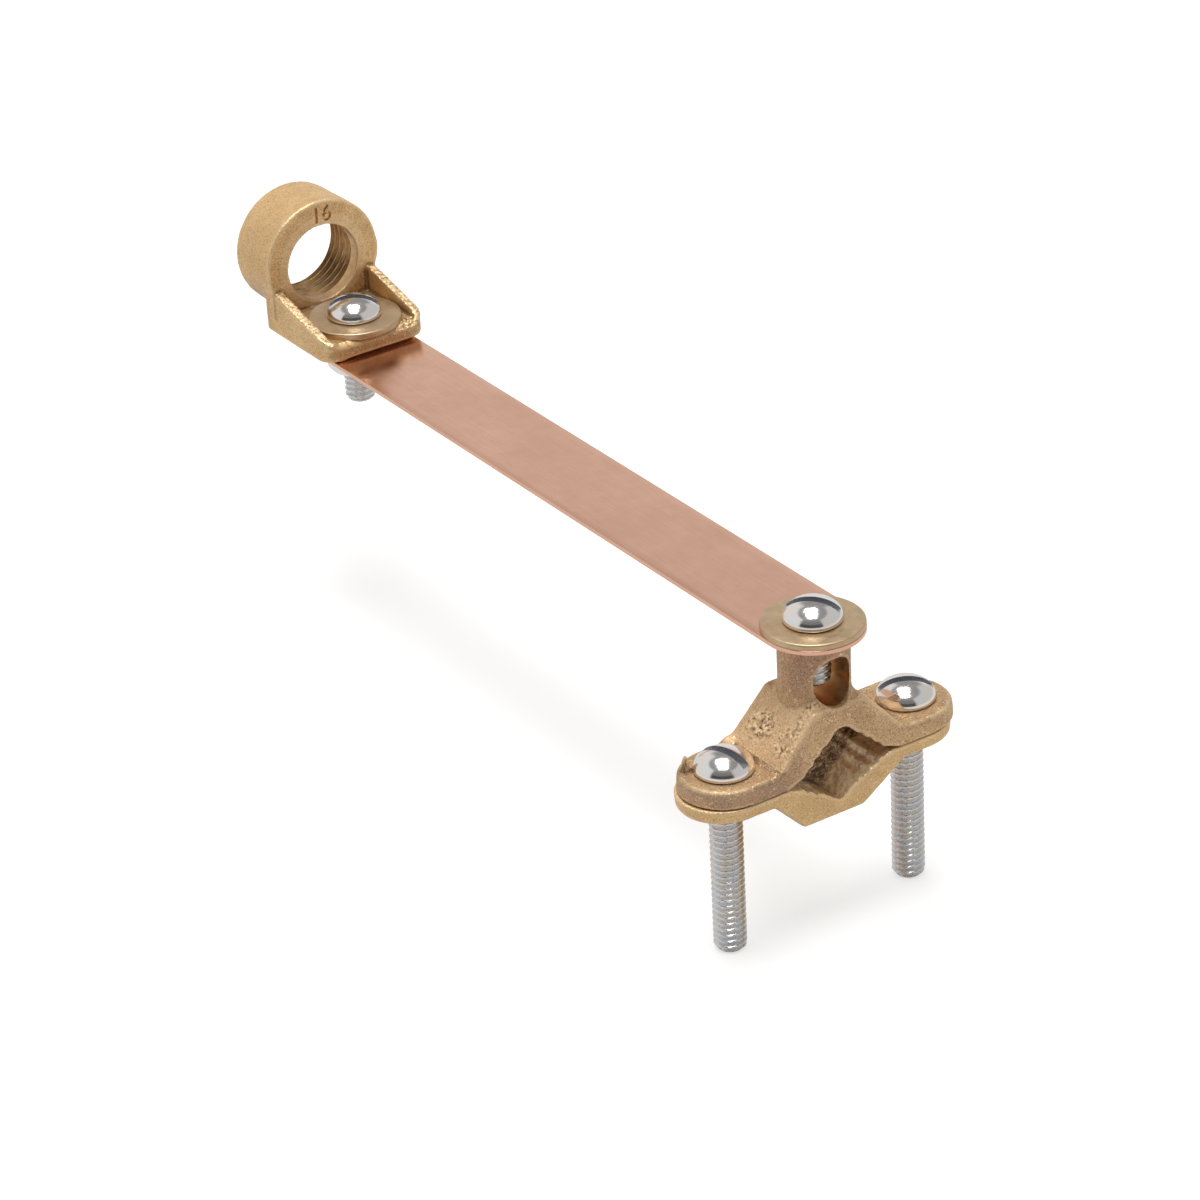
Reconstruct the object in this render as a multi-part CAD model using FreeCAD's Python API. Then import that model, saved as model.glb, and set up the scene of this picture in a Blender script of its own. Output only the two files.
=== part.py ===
import FreeCAD
import Part
import math
import os

# Bronze earthing pipe clamp with a copper strap and a threaded conduit hub.
# Frame: the origin lies on the parting face of the two pipe jaws, midway between
# the clamp screws. X runs along the jaws, Y from the jaws to the hub, Z is up.
# All sizes are millimetres.

# Screws: one thread size is used throughout, its shank drawn plain
thread_radius = 3.175
thread_fit = 0.05
shank_clearance = 0.325
tip_chamfer = 0.8
head_radius = 5.72
head_height = 4.3
head_rim_height = 0.3
head_rim_bevel = 0.15
slot_width = 1.8
slot_depth = 2.2
clamp_screw_length = 38.1
terminal_screw_length = 12.7
hub_screw_length = 19.05
left_slot_angle = 109.0
right_slot_angle = -30.0
terminal_slot_angle = -47.0
hub_slot_angle = -32.0

# Pipe jaws
screw_spacing = 41.8
ear_radius = 8.85
parting_gap = 0.3
jaw_draft_deg = 4.0
tooth_pitch = 2.45
tooth_depth = 0.45

# Upper jaw
upper_ear_thickness = 3.4
upper_edge = 1.0
bridge_height = 13.0
bridge_top_half_width = 5.7
bridge_foot_half_width = 14.4
bridge_shoulder_radius = 2.0
bridge_foot_radius = 2.4
upper_v_half_width = 11.1
upper_v_depth = 9.6
upper_v_apex_radius = 3.0
upper_v_flare = 1.2
head_seat_clearance = 0.98
gate_stub_height = 3.05
gate_stub_base_radius = 1.5
gate_stub_tip_radius = 0.35
gate_stub_angle = 145.5
gate_stub_lean = -0.2

# Terminal post on the upper jaw
post_radius = 6.8
post_height = 25.24
post_root_fillet = 1.8
wire_port_width = 8.0
wire_port_height = 9.8
wire_port_cover = 3.14

# Lower jaw
lower_ear_thickness = 2.9
lower_edge = 1.0
lower_shift = -0.6
keel_depth = 10.05
keel_left = -8.6
keel_right = 4.9
keel_left_foot = -15.45
keel_right_foot = 14.25
keel_corner_radius = 1.0
keel_foot_radius = 1.6
lower_v_half_width = 11.1
lower_v_depth = 6.5
lower_v_apex_radius = 1.2
lower_v_flare = 0.5

# Copper strap
strap_length = 159.5
strap_width = 19.75
strap_thickness = 0.9

# Washers: as wide as the strap, less a little
washer_inset = 0.075
terminal_washer_thickness = 1.3
hub_washer_thickness = 1.4
washer_edge = 0.25

# Hub casting: a foot with side gussets carries the threaded collar
foot_thickness = 4.0
foot_front = 8.8
foot_overhang = 2.525
foot_corner_radius = 4.2
foot_top_edge = 0.9
foot_bottom_edge = 1.1
heel_back = 15.2
tray_clearance = 0.45
gusset_top_rise = 5.6
gusset_nose_rise = 1.6
gusset_nose_setback = 3.2
gusset_edge = 0.8
collar_radius = 13.4
collar_length = 13.7
collar_setback = 11.3
collar_lift = 0.35
collar_draft_deg = 1.2
collar_edge = 0.6
collar_throat_radius = 8.4
collar_throat_depth = 3.0
collar_throat_drop = 0.45
pipe_thread_radius = 10.4
pipe_thread_depth = 1.1
relief_width = 1.2
relief_depth = 0.3

# Hub nut
nut_across_flats = 11.1
nut_thickness = 5.5
nut_bevel_height = 0.5
nut_bevel_width = 0.8
nut_angle = 30.0

# Levels worked out from the sizes above
strap_bottom = post_height
wire_port_bottom = post_height - wire_port_cover - wire_port_height
washer_radius = strap_width / 2 - washer_inset
foot_half_width = strap_width / 2 + foot_overhang
strap_top = strap_bottom + strap_thickness
terminal_head_seat = strap_top + terminal_washer_thickness
foot_top = strap_top + foot_thickness
hub_head_seat = foot_top + hub_washer_thickness
lower_top = -parting_gap
lower_ear_bottom = lower_top - lower_ear_thickness
hub_y = strap_length
collar_front = hub_y + collar_setback
collar_back = collar_front + collar_length
collar_axis_z = strap_top + collar_lift + collar_radius
pipe_minor_radius = pipe_thread_radius - pipe_thread_depth
clearance_radius = thread_radius + shank_clearance
tapped_radius = thread_radius + thread_fit

AXIS_Y = FreeCAD.Vector(0, 1, 0)
AXIS_Z = FreeCAD.Vector(0, 0, 1)


def point(x, y, z):
    """Position or direction in millimetres."""
    return FreeCAD.Vector(x, y, z)


def rounded_outline(corners):
    """Closed wire through (position, radius) corners, each rounded by its own arc."""
    edges = []
    count = len(corners)
    ends = []
    for index, (corner, radius) in enumerate(corners):
        before = corners[index - 1][0] - corner
        after = corners[(index + 1) % count][0] - corner
        before.normalize()
        after.normalize()
        half_angle = before.getAngle(after) / 2
        if radius == 0:
            ends.append((corner, None, corner))
            continue
        run = radius / math.tan(half_angle)
        middle = before + after
        middle.normalize()
        reach = radius / math.sin(half_angle) - radius
        ends.append((corner + before * run, corner + middle * reach, corner + after * run))
    for index, (start, arc_middle, finish) in enumerate(ends):
        if arc_middle is not None:
            edges.append(Part.Arc(start, arc_middle, finish).toShape())
        following = ends[(index + 1) % count][0]
        if finish.distanceToPoint(following) > 1e-6:
            edges.append(Part.LineSegment(finish, following).toShape())
    return Part.Wire(edges)


def prism(corners, sweep):
    """Solid swept from a closed outline of rounded corners."""
    return Part.Face(rounded_outline(corners)).extrude(sweep)


def edges_at_level(shape, level):
    """Edges that lie whole in the plane at a height."""
    found = []
    for edge in shape.Edges:
        box = edge.BoundBox
        if abs(box.ZMin - level) < 1e-4 and abs(box.ZMax - level) < 1e-4:
            found.append(edge)
    return found


def obround_wire(radius, shift, level):
    """Level outline with round ends about the two clamp screws."""
    half = screw_spacing / 2
    left = shift - half
    right = shift + half
    edges = [
        Part.LineSegment(point(left, -radius, level), point(right, -radius, level)).toShape(),
        Part.Arc(point(right, -radius, level), point(right + radius, 0, level),
                 point(right, radius, level)).toShape(),
        Part.LineSegment(point(right, radius, level), point(left, radius, level)).toShape(),
        Part.Arc(point(left, radius, level), point(left - radius, 0, level),
                 point(left, -radius, level)).toShape(),
    ]
    return Part.Wire(edges)


def drafted_plan(shift, top, direction):
    """Block with the jaw's plan outline, its walls leaning in by the mould's draft."""
    shrink = (top + 1) * math.tan(math.radians(jaw_draft_deg))
    wide = obround_wire(ear_radius, shift, 0)
    narrow = obround_wire(ear_radius - shrink, shift, direction * (top + 1))
    return Part.makeLoft([wide, narrow], True, True)


def wall_edges(shape, shift):
    """Edges where the drafted wall meets the sloping and flat faces, not the parting face."""
    half = screw_spacing / 2
    found = []
    for edge in shape.Edges:
        middle = edge.valueAt((edge.FirstParameter + edge.LastParameter) / 2)
        along = middle.x - shift
        beyond = max(abs(along) - half, 0)
        reach = math.hypot(beyond, middle.y)
        wall = ear_radius - abs(middle.z) * math.tan(math.radians(jaw_draft_deg))
        box = edge.BoundBox
        upright = box.ZLength > 0.5 and box.XLength < 0.01
        level_with_parting = abs(box.ZMin) < 1e-3 and abs(box.ZMax) < 1e-3
        if abs(reach - wall) < 1e-2 and not upright and not level_with_parting:
            found.append(edge)
    return found


def toothed_v(half_width, depth, apex_radius, flare, shift, base, direction):
    """Prism of the pipe space of one jaw: a V with ridges along the pipe on both flanks."""
    flank = math.hypot(half_width, depth)
    along = half_width / flank
    rise = depth / flank
    usable = flank - apex_radius * half_width / depth - tooth_pitch / 2
    count = int(usable / tooth_pitch)
    left = [(point(shift - half_width - flare, 0, base), 0)]
    for index in range(count):
        root = tooth_pitch * (index + 0.5)
        crest = root + tooth_pitch / 2
        for distance, sink in ((root, 0), (crest, tooth_depth)):
            x = shift - half_width + distance * along + sink * rise
            z = base + direction * (distance * rise - sink * along)
            left.append((point(x, 0, z), 0))
    apex = [(point(shift, 0, base + direction * depth), apex_radius)]
    right = [(point(2 * shift - corner.x, 0, corner.z), radius) for corner, radius in reversed(left)]
    outside = half_width + flare
    skirt = [
        (point(shift + outside, 0, base - direction), 0),
        (point(shift - outside, 0, base - direction), 0),
    ]
    start = AXIS_Y * (-2 * ear_radius)
    outline = [(corner + start, radius) for corner, radius in left + apex + right + skirt]
    return prism(outline, AXIS_Y * (4 * ear_radius))


def upright_hole(x, y, radius, bottom, top):
    """Cylinder standing on Z between two heights."""
    return Part.makeCylinder(radius, top - bottom, point(x, y, bottom))


def across_jaw(profile):
    """Solid of a side profile, swept along the pipe past both walls of a jaw."""
    start = AXIS_Y * (-2 * ear_radius)
    return prism([(corner + start, radius) for corner, radius in profile], AXIS_Y * (4 * ear_radius))


def upper_body():
    """Ears and the bridge over the pipe, as one casting with rounded upper edges."""
    end = screw_spacing
    profile = [
        (point(-end, 0, 0), 0),
        (point(-end, 0, upper_ear_thickness), 0),
        (point(-bridge_foot_half_width, 0, upper_ear_thickness), bridge_foot_radius),
        (point(-bridge_top_half_width, 0, bridge_height), bridge_shoulder_radius),
        (point(bridge_top_half_width, 0, bridge_height), bridge_shoulder_radius),
        (point(bridge_foot_half_width, 0, upper_ear_thickness), bridge_foot_radius),
        (point(end, 0, upper_ear_thickness), 0),
        (point(end, 0, 0), 0),
    ]
    body = drafted_plan(0, bridge_height, 1).common(across_jaw(profile))
    return body.makeFillet(upper_edge, wall_edges(body, 0))


def with_post(body):
    """Body with the terminal post, joined by a cast fillet round the post's root."""
    post = upright_hole(0, 0, post_radius, upper_ear_thickness * 2, post_height)
    joined = body.fuse(post)
    root = []
    for edge in joined.Edges:
        ends = [math.hypot(vertex.X, vertex.Y) for vertex in edge.Vertexes]
        middle = edge.valueAt((edge.FirstParameter + edge.LastParameter) / 2)
        ends.append(math.hypot(middle.x, middle.y))
        on_post = max(abs(reach - post_radius) for reach in ends) < 1e-2
        if on_post and edge.BoundBox.ZMax < bridge_height + 0.01 and edge.BoundBox.ZMin > 1:
            root.append(edge)
    return joined.makeFillet(post_root_fillet, root)


def wire_port():
    """Upright slot with round ends, through the post along the pipe."""
    radius = wire_port_width / 2
    low = wire_port_bottom + radius
    high = wire_port_bottom + wire_port_height - radius
    start = -2 * ear_radius
    edges = [
        Part.LineSegment(point(radius, start, low), point(radius, start, high)).toShape(),
        Part.Arc(point(radius, start, high), point(0, start, high + radius),
                 point(-radius, start, high)).toShape(),
        Part.LineSegment(point(-radius, start, high), point(-radius, start, low)).toShape(),
        Part.Arc(point(-radius, start, low), point(0, start, low - radius),
                 point(radius, start, low)).toShape(),
    ]
    return Part.Face(Part.Wire(edges)).extrude(AXIS_Y * (4 * ear_radius))


def gate_stub():
    """Pointed stub left where the casting was broken off its gate, leaning on the ear's edge."""
    angle = math.radians(gate_stub_angle)
    reach = ear_radius - gate_stub_base_radius - 0.2
    outward = point(math.cos(angle), math.sin(angle), 0)
    foot = point(-screw_spacing / 2, 0, upper_ear_thickness / 2) + outward * reach
    height = upper_ear_thickness / 2 + gate_stub_height
    top = foot + outward * gate_stub_lean + AXIS_Z * height
    base = Part.Wire(Part.makeCircle(gate_stub_base_radius, foot))
    tip = Part.Wire(Part.makeCircle(gate_stub_tip_radius, top))
    return Part.makeLoft([base, tip], True, True)


def upper_jaw():
    """Upper half of the pipe clamp with the terminal post."""
    body = with_post(upper_body()).fuse(gate_stub())
    cuts = [toothed_v(upper_v_half_width, upper_v_depth, upper_v_apex_radius, upper_v_flare, 0, 0, 1)]
    cuts.append(wire_port())
    cuts.append(upright_hole(0, 0, tapped_radius, wire_port_bottom + wire_port_height / 2, post_height + 1))
    seat = head_radius + head_seat_clearance
    for side in (-1, 1):
        x = side * screw_spacing / 2
        cuts.append(upright_hole(x, 0, clearance_radius, -1, upper_ear_thickness + 1))
        recess = upright_hole(x, 0, seat, upper_ear_thickness, bridge_height)
        cuts.append(recess.cut(gate_stub()))
    return body.cut(cuts)


def lower_body():
    """Ears and keel of the lower jaw, with rounded lower edges."""
    end = screw_spacing
    profile = [
        (point(-end, 0, 0), 0),
        (point(-end, 0, lower_ear_bottom), 0),
        (point(keel_left_foot, 0, lower_ear_bottom), keel_foot_radius),
        (point(keel_left, 0, -keel_depth), keel_corner_radius),
        (point(keel_right, 0, -keel_depth), keel_corner_radius),
        (point(keel_right_foot, 0, lower_ear_bottom), keel_foot_radius),
        (point(end, 0, lower_ear_bottom), 0),
        (point(end, 0, 0), 0),
    ]
    body = drafted_plan(lower_shift, keel_depth, -1).common(across_jaw(profile))
    return body.makeFillet(lower_edge, wall_edges(body, lower_shift))


def lower_jaw():
    """Lower half of the pipe clamp, tapped for the two clamp screws."""
    span = 4 * screw_spacing
    gap = Part.makeBox(span, span, parting_gap + 1, point(-span / 2, -span / 2, lower_top))
    cuts = [gap]
    cuts.append(toothed_v(lower_v_half_width, lower_v_depth, lower_v_apex_radius, lower_v_flare,
                          lower_shift, lower_top, -1))
    for side in (-1, 1):
        cuts.append(upright_hole(side * screw_spacing / 2, 0, tapped_radius, -keel_depth, 1))
    return lower_body().cut(cuts)


def slotted_screw(x, y, seat, length, slot_angle):
    """Round-headed screw standing on its seat height with the shank downwards."""
    dome = head_height - head_rim_height
    apex = point(0, 0, head_height)
    shoulder = point(head_radius, 0, head_rim_height)
    bend = math.sqrt(0.5)
    middle = point(head_radius * bend, 0, head_rim_height + dome * bend)
    crown = Part.BSplineCurve()
    crown.interpolate([shoulder, middle, apex], InitialTangent=point(0, 0, 1), FinalTangent=point(-1, 0, 0))
    outline = [
        crown.toShape(),
        Part.LineSegment(apex, point(0, 0, -length)).toShape(),
        Part.LineSegment(point(0, 0, -length), point(thread_radius - tip_chamfer, 0, -length)).toShape(),
        Part.LineSegment(point(thread_radius - tip_chamfer, 0, -length),
                         point(thread_radius, 0, tip_chamfer - length)).toShape(),
        Part.LineSegment(point(thread_radius, 0, tip_chamfer - length), point(thread_radius, 0, 0)).toShape(),
        Part.LineSegment(point(thread_radius, 0, 0), point(head_radius - head_rim_bevel, 0, 0)).toShape(),
        Part.LineSegment(point(head_radius - head_rim_bevel, 0, 0),
                         point(head_radius, 0, head_rim_bevel)).toShape(),
        Part.LineSegment(point(head_radius, 0, head_rim_bevel), shoulder).toShape(),
    ]
    screw = Part.Face(Part.Wire(Part.sortEdges(outline)[0])).revolve(point(0, 0, 0), AXIS_Z, 360)
    slot = Part.makeBox(4 * head_radius, slot_width, head_height,
                        point(-2 * head_radius, -slot_width / 2, head_height - slot_depth))
    slot.rotate(point(0, 0, 0), AXIS_Z, slot_angle)
    screw = screw.cut(slot)
    screw.translate(point(x, y, seat))
    return screw


def washer(y, bottom, thickness):
    """Flat round washer, its upper edge softened by the punch."""
    ring = Part.makeCylinder(washer_radius, thickness, point(0, y, bottom))
    ring = ring.makeFillet(washer_edge, edges_at_level(ring, bottom + thickness))
    return ring.cut(upright_hole(0, y, clearance_radius, bottom - 1, bottom + thickness + 1))


def strap():
    """Flat copper strip with round ends, drilled at both ends."""
    half = strap_width / 2
    strip = Part.makeBox(strap_width, strap_length, strap_thickness, point(-half, 0, strap_bottom))
    ends = [Part.makeCylinder(half, strap_thickness, point(0, y, strap_bottom)) for y in (0, strap_length)]
    strip = strip.fuse(ends).removeSplitter()
    holes = [upright_hole(0, y, clearance_radius, strap_bottom - 1, strap_top + 1) for y in (0, strap_length)]
    return strip.cut(holes)


def gusset_block():
    """Foot and side gussets from one side profile, with rounded outer edges."""
    front = hub_y - foot_front
    back = hub_y + heel_back
    side = -foot_half_width
    nose_y = front + gusset_nose_setback
    nose_z = foot_top + gusset_nose_rise
    slope = (gusset_top_rise - gusset_nose_rise) / (collar_front - nose_y)
    profile = [
        (point(side, front, strap_top), 0),
        (point(side, back, strap_top), 0),
        (point(side, back, nose_z + slope * (back - nose_y)), 0),
        (point(side, nose_y, nose_z), gusset_nose_rise),
        (point(side, front, foot_top - foot_top_edge), foot_top_edge),
    ]
    block = prism(profile, point(2 * foot_half_width, 0, 0))
    rims = [edge for edge in block.Edges if edge.BoundBox.ZMin > foot_top and edge.BoundBox.XLength < 0.01
            and edge.BoundBox.YLength > collar_setback]
    return block.makeFillet(gusset_edge, rims)


def bracket_block():
    """Foot, gussets and the heel under the collar, with round front corners."""
    front = hub_y - foot_front
    back = hub_y + heel_back
    side = foot_half_width
    below = strap_top - 1
    heel = Part.makeBox(2 * side, back - collar_front, collar_axis_z - strap_top,
                        point(-side, collar_front, strap_top))
    plan = [
        (point(-side, front, below), foot_corner_radius),
        (point(side, front, below), foot_corner_radius),
        (point(side, back, below), 0),
        (point(-side, back, below), 0),
    ]
    outline = prism(plan, AXIS_Z * (collar_axis_z - below + 1))
    block = gusset_block().fuse(heel).removeSplitter().common(outline)
    return block.makeFillet(foot_bottom_edge, edges_at_level(block, strap_top))


def tray_cut():
    """Space between the gussets that the washer lies in."""
    half = washer_radius + tray_clearance
    front = hub_y - 2 * foot_front
    return Part.makeBox(2 * half, collar_front - front, 2 * collar_radius, point(-half, front, foot_top))


def collar():
    """Round collar, slightly tapered by its draft."""
    shrink = collar_length * math.tan(math.radians(collar_draft_deg))
    ring = Part.makeCone(collar_radius, collar_radius - shrink, collar_length,
                         point(0, collar_front, collar_axis_z), AXIS_Y)
    return ring.makeFillet(collar_edge, [edge for edge in ring.Edges if edge.BoundBox.YLength < 1e-4])


def collar_bore():
    """Throat, thread relief and pipe thread bore, along Y."""
    throat_axis = point(0, collar_front, collar_axis_z - collar_throat_drop)
    throat = Part.makeCylinder(collar_throat_radius, collar_length, throat_axis, AXIS_Y)
    thread_start = point(0, collar_front + collar_throat_depth, collar_axis_z)
    bore = Part.makeCylinder(pipe_minor_radius, collar_length, thread_start, AXIS_Y)
    relief = Part.makeCylinder(pipe_thread_radius + relief_depth, relief_width, thread_start, AXIS_Y)
    mouth_depth = pipe_thread_depth
    mouth_start = point(0, collar_back - mouth_depth, collar_axis_z)
    mouth = Part.makeCone(pipe_minor_radius, pipe_thread_radius, mouth_depth, mouth_start, AXIS_Y)
    return [throat, bore, relief, mouth]


def hub():
    """Conduit hub: foot, gussets and threaded collar in one casting."""
    body = bracket_block().cut(tray_cut()).fuse(collar())
    cuts = collar_bore() + [upright_hole(0, hub_y, clearance_radius, strap_top - 1, foot_top + 1)]
    return body.cut(cuts)


def hub_nut():
    """Hexagon nut under the strap, bevelled at its lower corners."""
    corner = nut_across_flats / math.sqrt(3)
    bottom = strap_bottom - nut_thickness
    corners = []
    for index in range(6):
        angle = math.radians(nut_angle + 60 * index)
        corners.append((point(corner * math.cos(angle), hub_y + corner * math.sin(angle), bottom), 0))
    nut = prism(corners, AXIS_Z * nut_thickness)
    bevel = Part.makeCone(corner - nut_bevel_width, corner, nut_bevel_height, point(0, hub_y, bottom))
    body = Part.makeCylinder(corner, nut_thickness - nut_bevel_height,
                             point(0, hub_y, bottom + nut_bevel_height))
    nut = nut.common(bevel.fuse(body))
    return nut.cut(upright_hole(0, hub_y, tapped_radius, bottom - 1, strap_bottom + 1))


def build():
    """Every piece by its name, in its place."""
    half = screw_spacing / 2
    return {
        "upper_jaw": upper_jaw(),
        "lower_jaw": lower_jaw(),
        "clamp_screw_left": slotted_screw(-half, 0, upper_ear_thickness, clamp_screw_length, left_slot_angle),
        "clamp_screw_right": slotted_screw(half, 0, upper_ear_thickness, clamp_screw_length, right_slot_angle),
        "strap": strap(),
        "terminal_washer": washer(0, strap_top, terminal_washer_thickness),
        "terminal_screw": slotted_screw(0, 0, terminal_head_seat, terminal_screw_length, terminal_slot_angle),
        "hub": hub(),
        "hub_washer": washer(hub_y, foot_top, hub_washer_thickness),
        "hub_screw": slotted_screw(0, hub_y, hub_head_seat, hub_screw_length, hub_slot_angle),
        "hub_nut": hub_nut(),
    }


os.makedirs("parts", exist_ok=True)
for name, shape in build().items():
    shape.exportStep("parts/" + name + ".step")
    print(name, shape.ShapeType, len(shape.Solids), shape.isValid(), round(shape.Volume, 1))
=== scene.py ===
"""Looks of a cast bronze earthing pipe clamp with a copper strap and a threaded conduit hub.

Sizes in the classes are millimetres in the frame of the solids; meshes are stored in metres.
"""

import logging
import math
from dataclasses import dataclass, field
from enum import Enum

import bmesh
import bpy
import numpy as np
from mathutils import Matrix, Vector

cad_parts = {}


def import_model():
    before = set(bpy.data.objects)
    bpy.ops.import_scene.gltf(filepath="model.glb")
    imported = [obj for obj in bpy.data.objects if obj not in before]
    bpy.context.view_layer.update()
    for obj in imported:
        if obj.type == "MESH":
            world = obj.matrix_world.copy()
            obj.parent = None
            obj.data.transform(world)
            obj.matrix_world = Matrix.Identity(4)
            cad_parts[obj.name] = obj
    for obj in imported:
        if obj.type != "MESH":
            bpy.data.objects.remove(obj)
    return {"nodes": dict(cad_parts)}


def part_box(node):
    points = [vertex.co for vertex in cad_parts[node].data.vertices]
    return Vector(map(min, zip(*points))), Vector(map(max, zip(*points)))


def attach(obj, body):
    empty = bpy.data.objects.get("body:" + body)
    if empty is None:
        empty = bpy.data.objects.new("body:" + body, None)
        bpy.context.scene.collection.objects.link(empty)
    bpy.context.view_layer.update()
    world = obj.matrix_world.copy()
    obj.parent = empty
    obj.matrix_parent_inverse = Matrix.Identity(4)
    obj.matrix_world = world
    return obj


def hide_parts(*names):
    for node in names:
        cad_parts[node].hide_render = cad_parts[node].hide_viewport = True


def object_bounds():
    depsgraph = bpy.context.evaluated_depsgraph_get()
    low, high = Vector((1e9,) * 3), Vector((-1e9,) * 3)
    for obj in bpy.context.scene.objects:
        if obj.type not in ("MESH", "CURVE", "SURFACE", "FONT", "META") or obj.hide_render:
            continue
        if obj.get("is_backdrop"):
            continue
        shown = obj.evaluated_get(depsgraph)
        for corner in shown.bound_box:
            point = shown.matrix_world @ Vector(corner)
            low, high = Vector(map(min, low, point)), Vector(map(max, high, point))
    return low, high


MM = 0.001
FAR = math.inf  # a spread that leaves its axis out
POLE_MERGE = 1e-7  # metres: joins the points of a turned surface's poles
NODE_MERGE = 2e-6  # metres: joins the loose triangles of a node
TEXT_MERGE = 1e-6  # metres: joins the walls and faces of figures
PHOTO_WIDTH_PX = 1200
FLOOR_GAP = 0.0002  # metres from the floor up to the lowest point of the solids at rest
LOG = logging.getLogger("earthing_clamp")

Array = np.ndarray
Triple = tuple[float, float, float]
Colour = Triple
Mesh = bpy.types.Mesh
Material = bpy.types.Material
Piece = bpy.types.Object
Socket = bpy.types.NodeSocket
Inputs = dict[str | int, Socket | float | tuple]


class Slot(Enum):
    """Material slots of the record."""

    BRONZE = "cast_bronze"
    COPPER = "copper_strip"
    BRASS = "brass_washer"
    STEEL = "plated_steel"


# Surfaces


@dataclass
class Surface:
    """A mesh as arrays: points in millimetres and quads as rows of point numbers."""

    points: Array
    quads: Array

    def placed(self, x: float, y: float, z: float, turn_deg: float = 0.0) -> "Surface":
        """The surface turned about Z through its origin, then moved.

        Args:
            x, y, z: the move in millimetres.
            turn_deg: the turn in degrees, anticlockwise seen from above.

        Returns:
            The moved surface.
        """
        turn = math.radians(turn_deg)
        c, s = math.cos(turn), math.sin(turn)
        spin = np.array([[c, s, 0], [-s, c, 0], [0, 0, 1]])
        return Surface(self.points @ spin + np.array([x, y, z]), self.quads)

    def to_object(self, name: str, crease_deg: float = 32.0) -> Piece:
        """Makes a closed Blender mesh from the arrays.

        Args:
            name: the object's name.
            crease_deg: edges bent more than this are shaded sharp.

        Returns:
            The new object, linked to the scene.
        """
        mesh = bpy.data.meshes.new(name)
        mesh.vertices.add(len(self.points))
        mesh.vertices.foreach_set("co", (self.points * MM).astype(np.float32).ravel())
        mesh.loops.add(self.quads.size)
        mesh.loops.foreach_set("vertex_index", self.quads.astype(np.int32).ravel())
        mesh.polygons.add(len(self.quads))
        mesh.polygons.foreach_set("loop_start", np.arange(0, self.quads.size, 4, dtype=np.int32))
        mesh.update(calc_edges=True)
        merge_points(mesh, POLE_MERGE)
        shade(mesh, crease_deg)
        return link_mesh(name, mesh)


def link_mesh(name: str, mesh: Mesh) -> Piece:
    """Puts a mesh into the scene as an object at the origin.

    Args:
        name: the object's name.
        mesh: its mesh.

    Returns:
        The new object.
    """
    piece = bpy.data.objects.new(name, mesh)
    bpy.context.scene.collection.objects.link(piece)
    return piece


def merge_points(mesh: Mesh, distance: float) -> None:
    """Joins points closer than a distance in metres and drops the faces that vanish.

    Args:
        mesh: the mesh, changed in place.
        distance: the greatest gap that is closed.
    """
    work = bmesh.new()
    work.from_mesh(mesh)
    bmesh.ops.remove_doubles(work, verts=work.verts, dist=distance)
    bmesh.ops.dissolve_degenerate(work, edges=work.edges, dist=distance)
    work.to_mesh(mesh)
    work.free()


def shade(mesh: Mesh, crease_deg: float) -> None:
    """Smooth shading with edges sharper than an angle kept crisp.

    Args:
        mesh: the mesh, changed in place.
        crease_deg: the angle between faces from which an edge is sharp.
    """
    mesh.polygons.foreach_set("use_smooth", np.ones(len(mesh.polygons), bool))
    mesh.set_sharp_from_angle(angle=math.radians(crease_deg))
    mesh.update()


def grid_surface(points: Array, around: bool = True, along: bool = False) -> Surface:
    """Quads over a grid of points; a column step crossed with a row step points outwards.

    Args:
        points: rows by columns by 3, in millimetres.
        around: the last column joins the first.
        along: the last row joins the first.

    Returns:
        The surface.
    """
    rows, columns = points.shape[:2]
    row = np.arange(rows if along else rows - 1)
    column = np.arange(columns if around else columns - 1)
    row, column = np.meshgrid(row, column, indexing="ij")
    above = (row + 1) % rows
    beside = (column + 1) % columns
    quads = np.stack(
        [row * columns + column, row * columns + beside, above * columns + beside, above * columns + column],
        axis=-1,
    )
    return Surface(points.reshape(-1, 3), quads.reshape(-1, 4))


def turned(radius: Array, height: Array, angle: Array) -> Array:
    """Grid of points at x = r cos a, y = r sin a, z = h.

    Args:
        radius: rows by columns, or rows by 1.
        height: rows by columns, or rows by 1.
        angle: one angle per column, in radians.

    Returns:
        Rows by columns by 3 points.
    """
    radius, height, angle = np.broadcast_arrays(radius, height, angle[None, :])
    return np.stack([radius * np.cos(angle), radius * np.sin(angle), height], axis=-1)


def circle_angles(count: int) -> Array:
    """Equal steps round a full turn, in radians."""
    return np.arange(count) * (2 * math.pi / count)


def rounded_profile(corners: list[Triple], steps: int = 5) -> Array:
    """Open profile through corners, each rounded by a quadratic curve.

    A corner with radius s is replaced by the curve (1-t)^2 A + 2t(1-t) C + t^2 B, where A and B
    lie s before and after the corner C along its two sides.

    Args:
        corners: (radius from the axis, height, rounding) in millimetres, from bottom to top.
        steps: points on each rounding.

    Returns:
        Points by 2.
    """
    line: list[Array] = []
    spots = [np.array(c[:2], float) for c in corners]
    for index, (spot, corner) in enumerate(zip(spots, corners)):
        size = corner[2]
        if size == 0 or index in (0, len(spots) - 1):
            line.append(spot[None, :])
            continue
        back = spots[index - 1] - spot
        on = spots[index + 1] - spot
        start = spot + back / np.linalg.norm(back) * size
        end = spot + on / np.linalg.norm(on) * size
        t = np.linspace(0, 1, steps)[:, None]
        line.append((1 - t) ** 2 * start + 2 * t * (1 - t) * spot + t**2 * end)
    return np.vstack(line)


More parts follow.
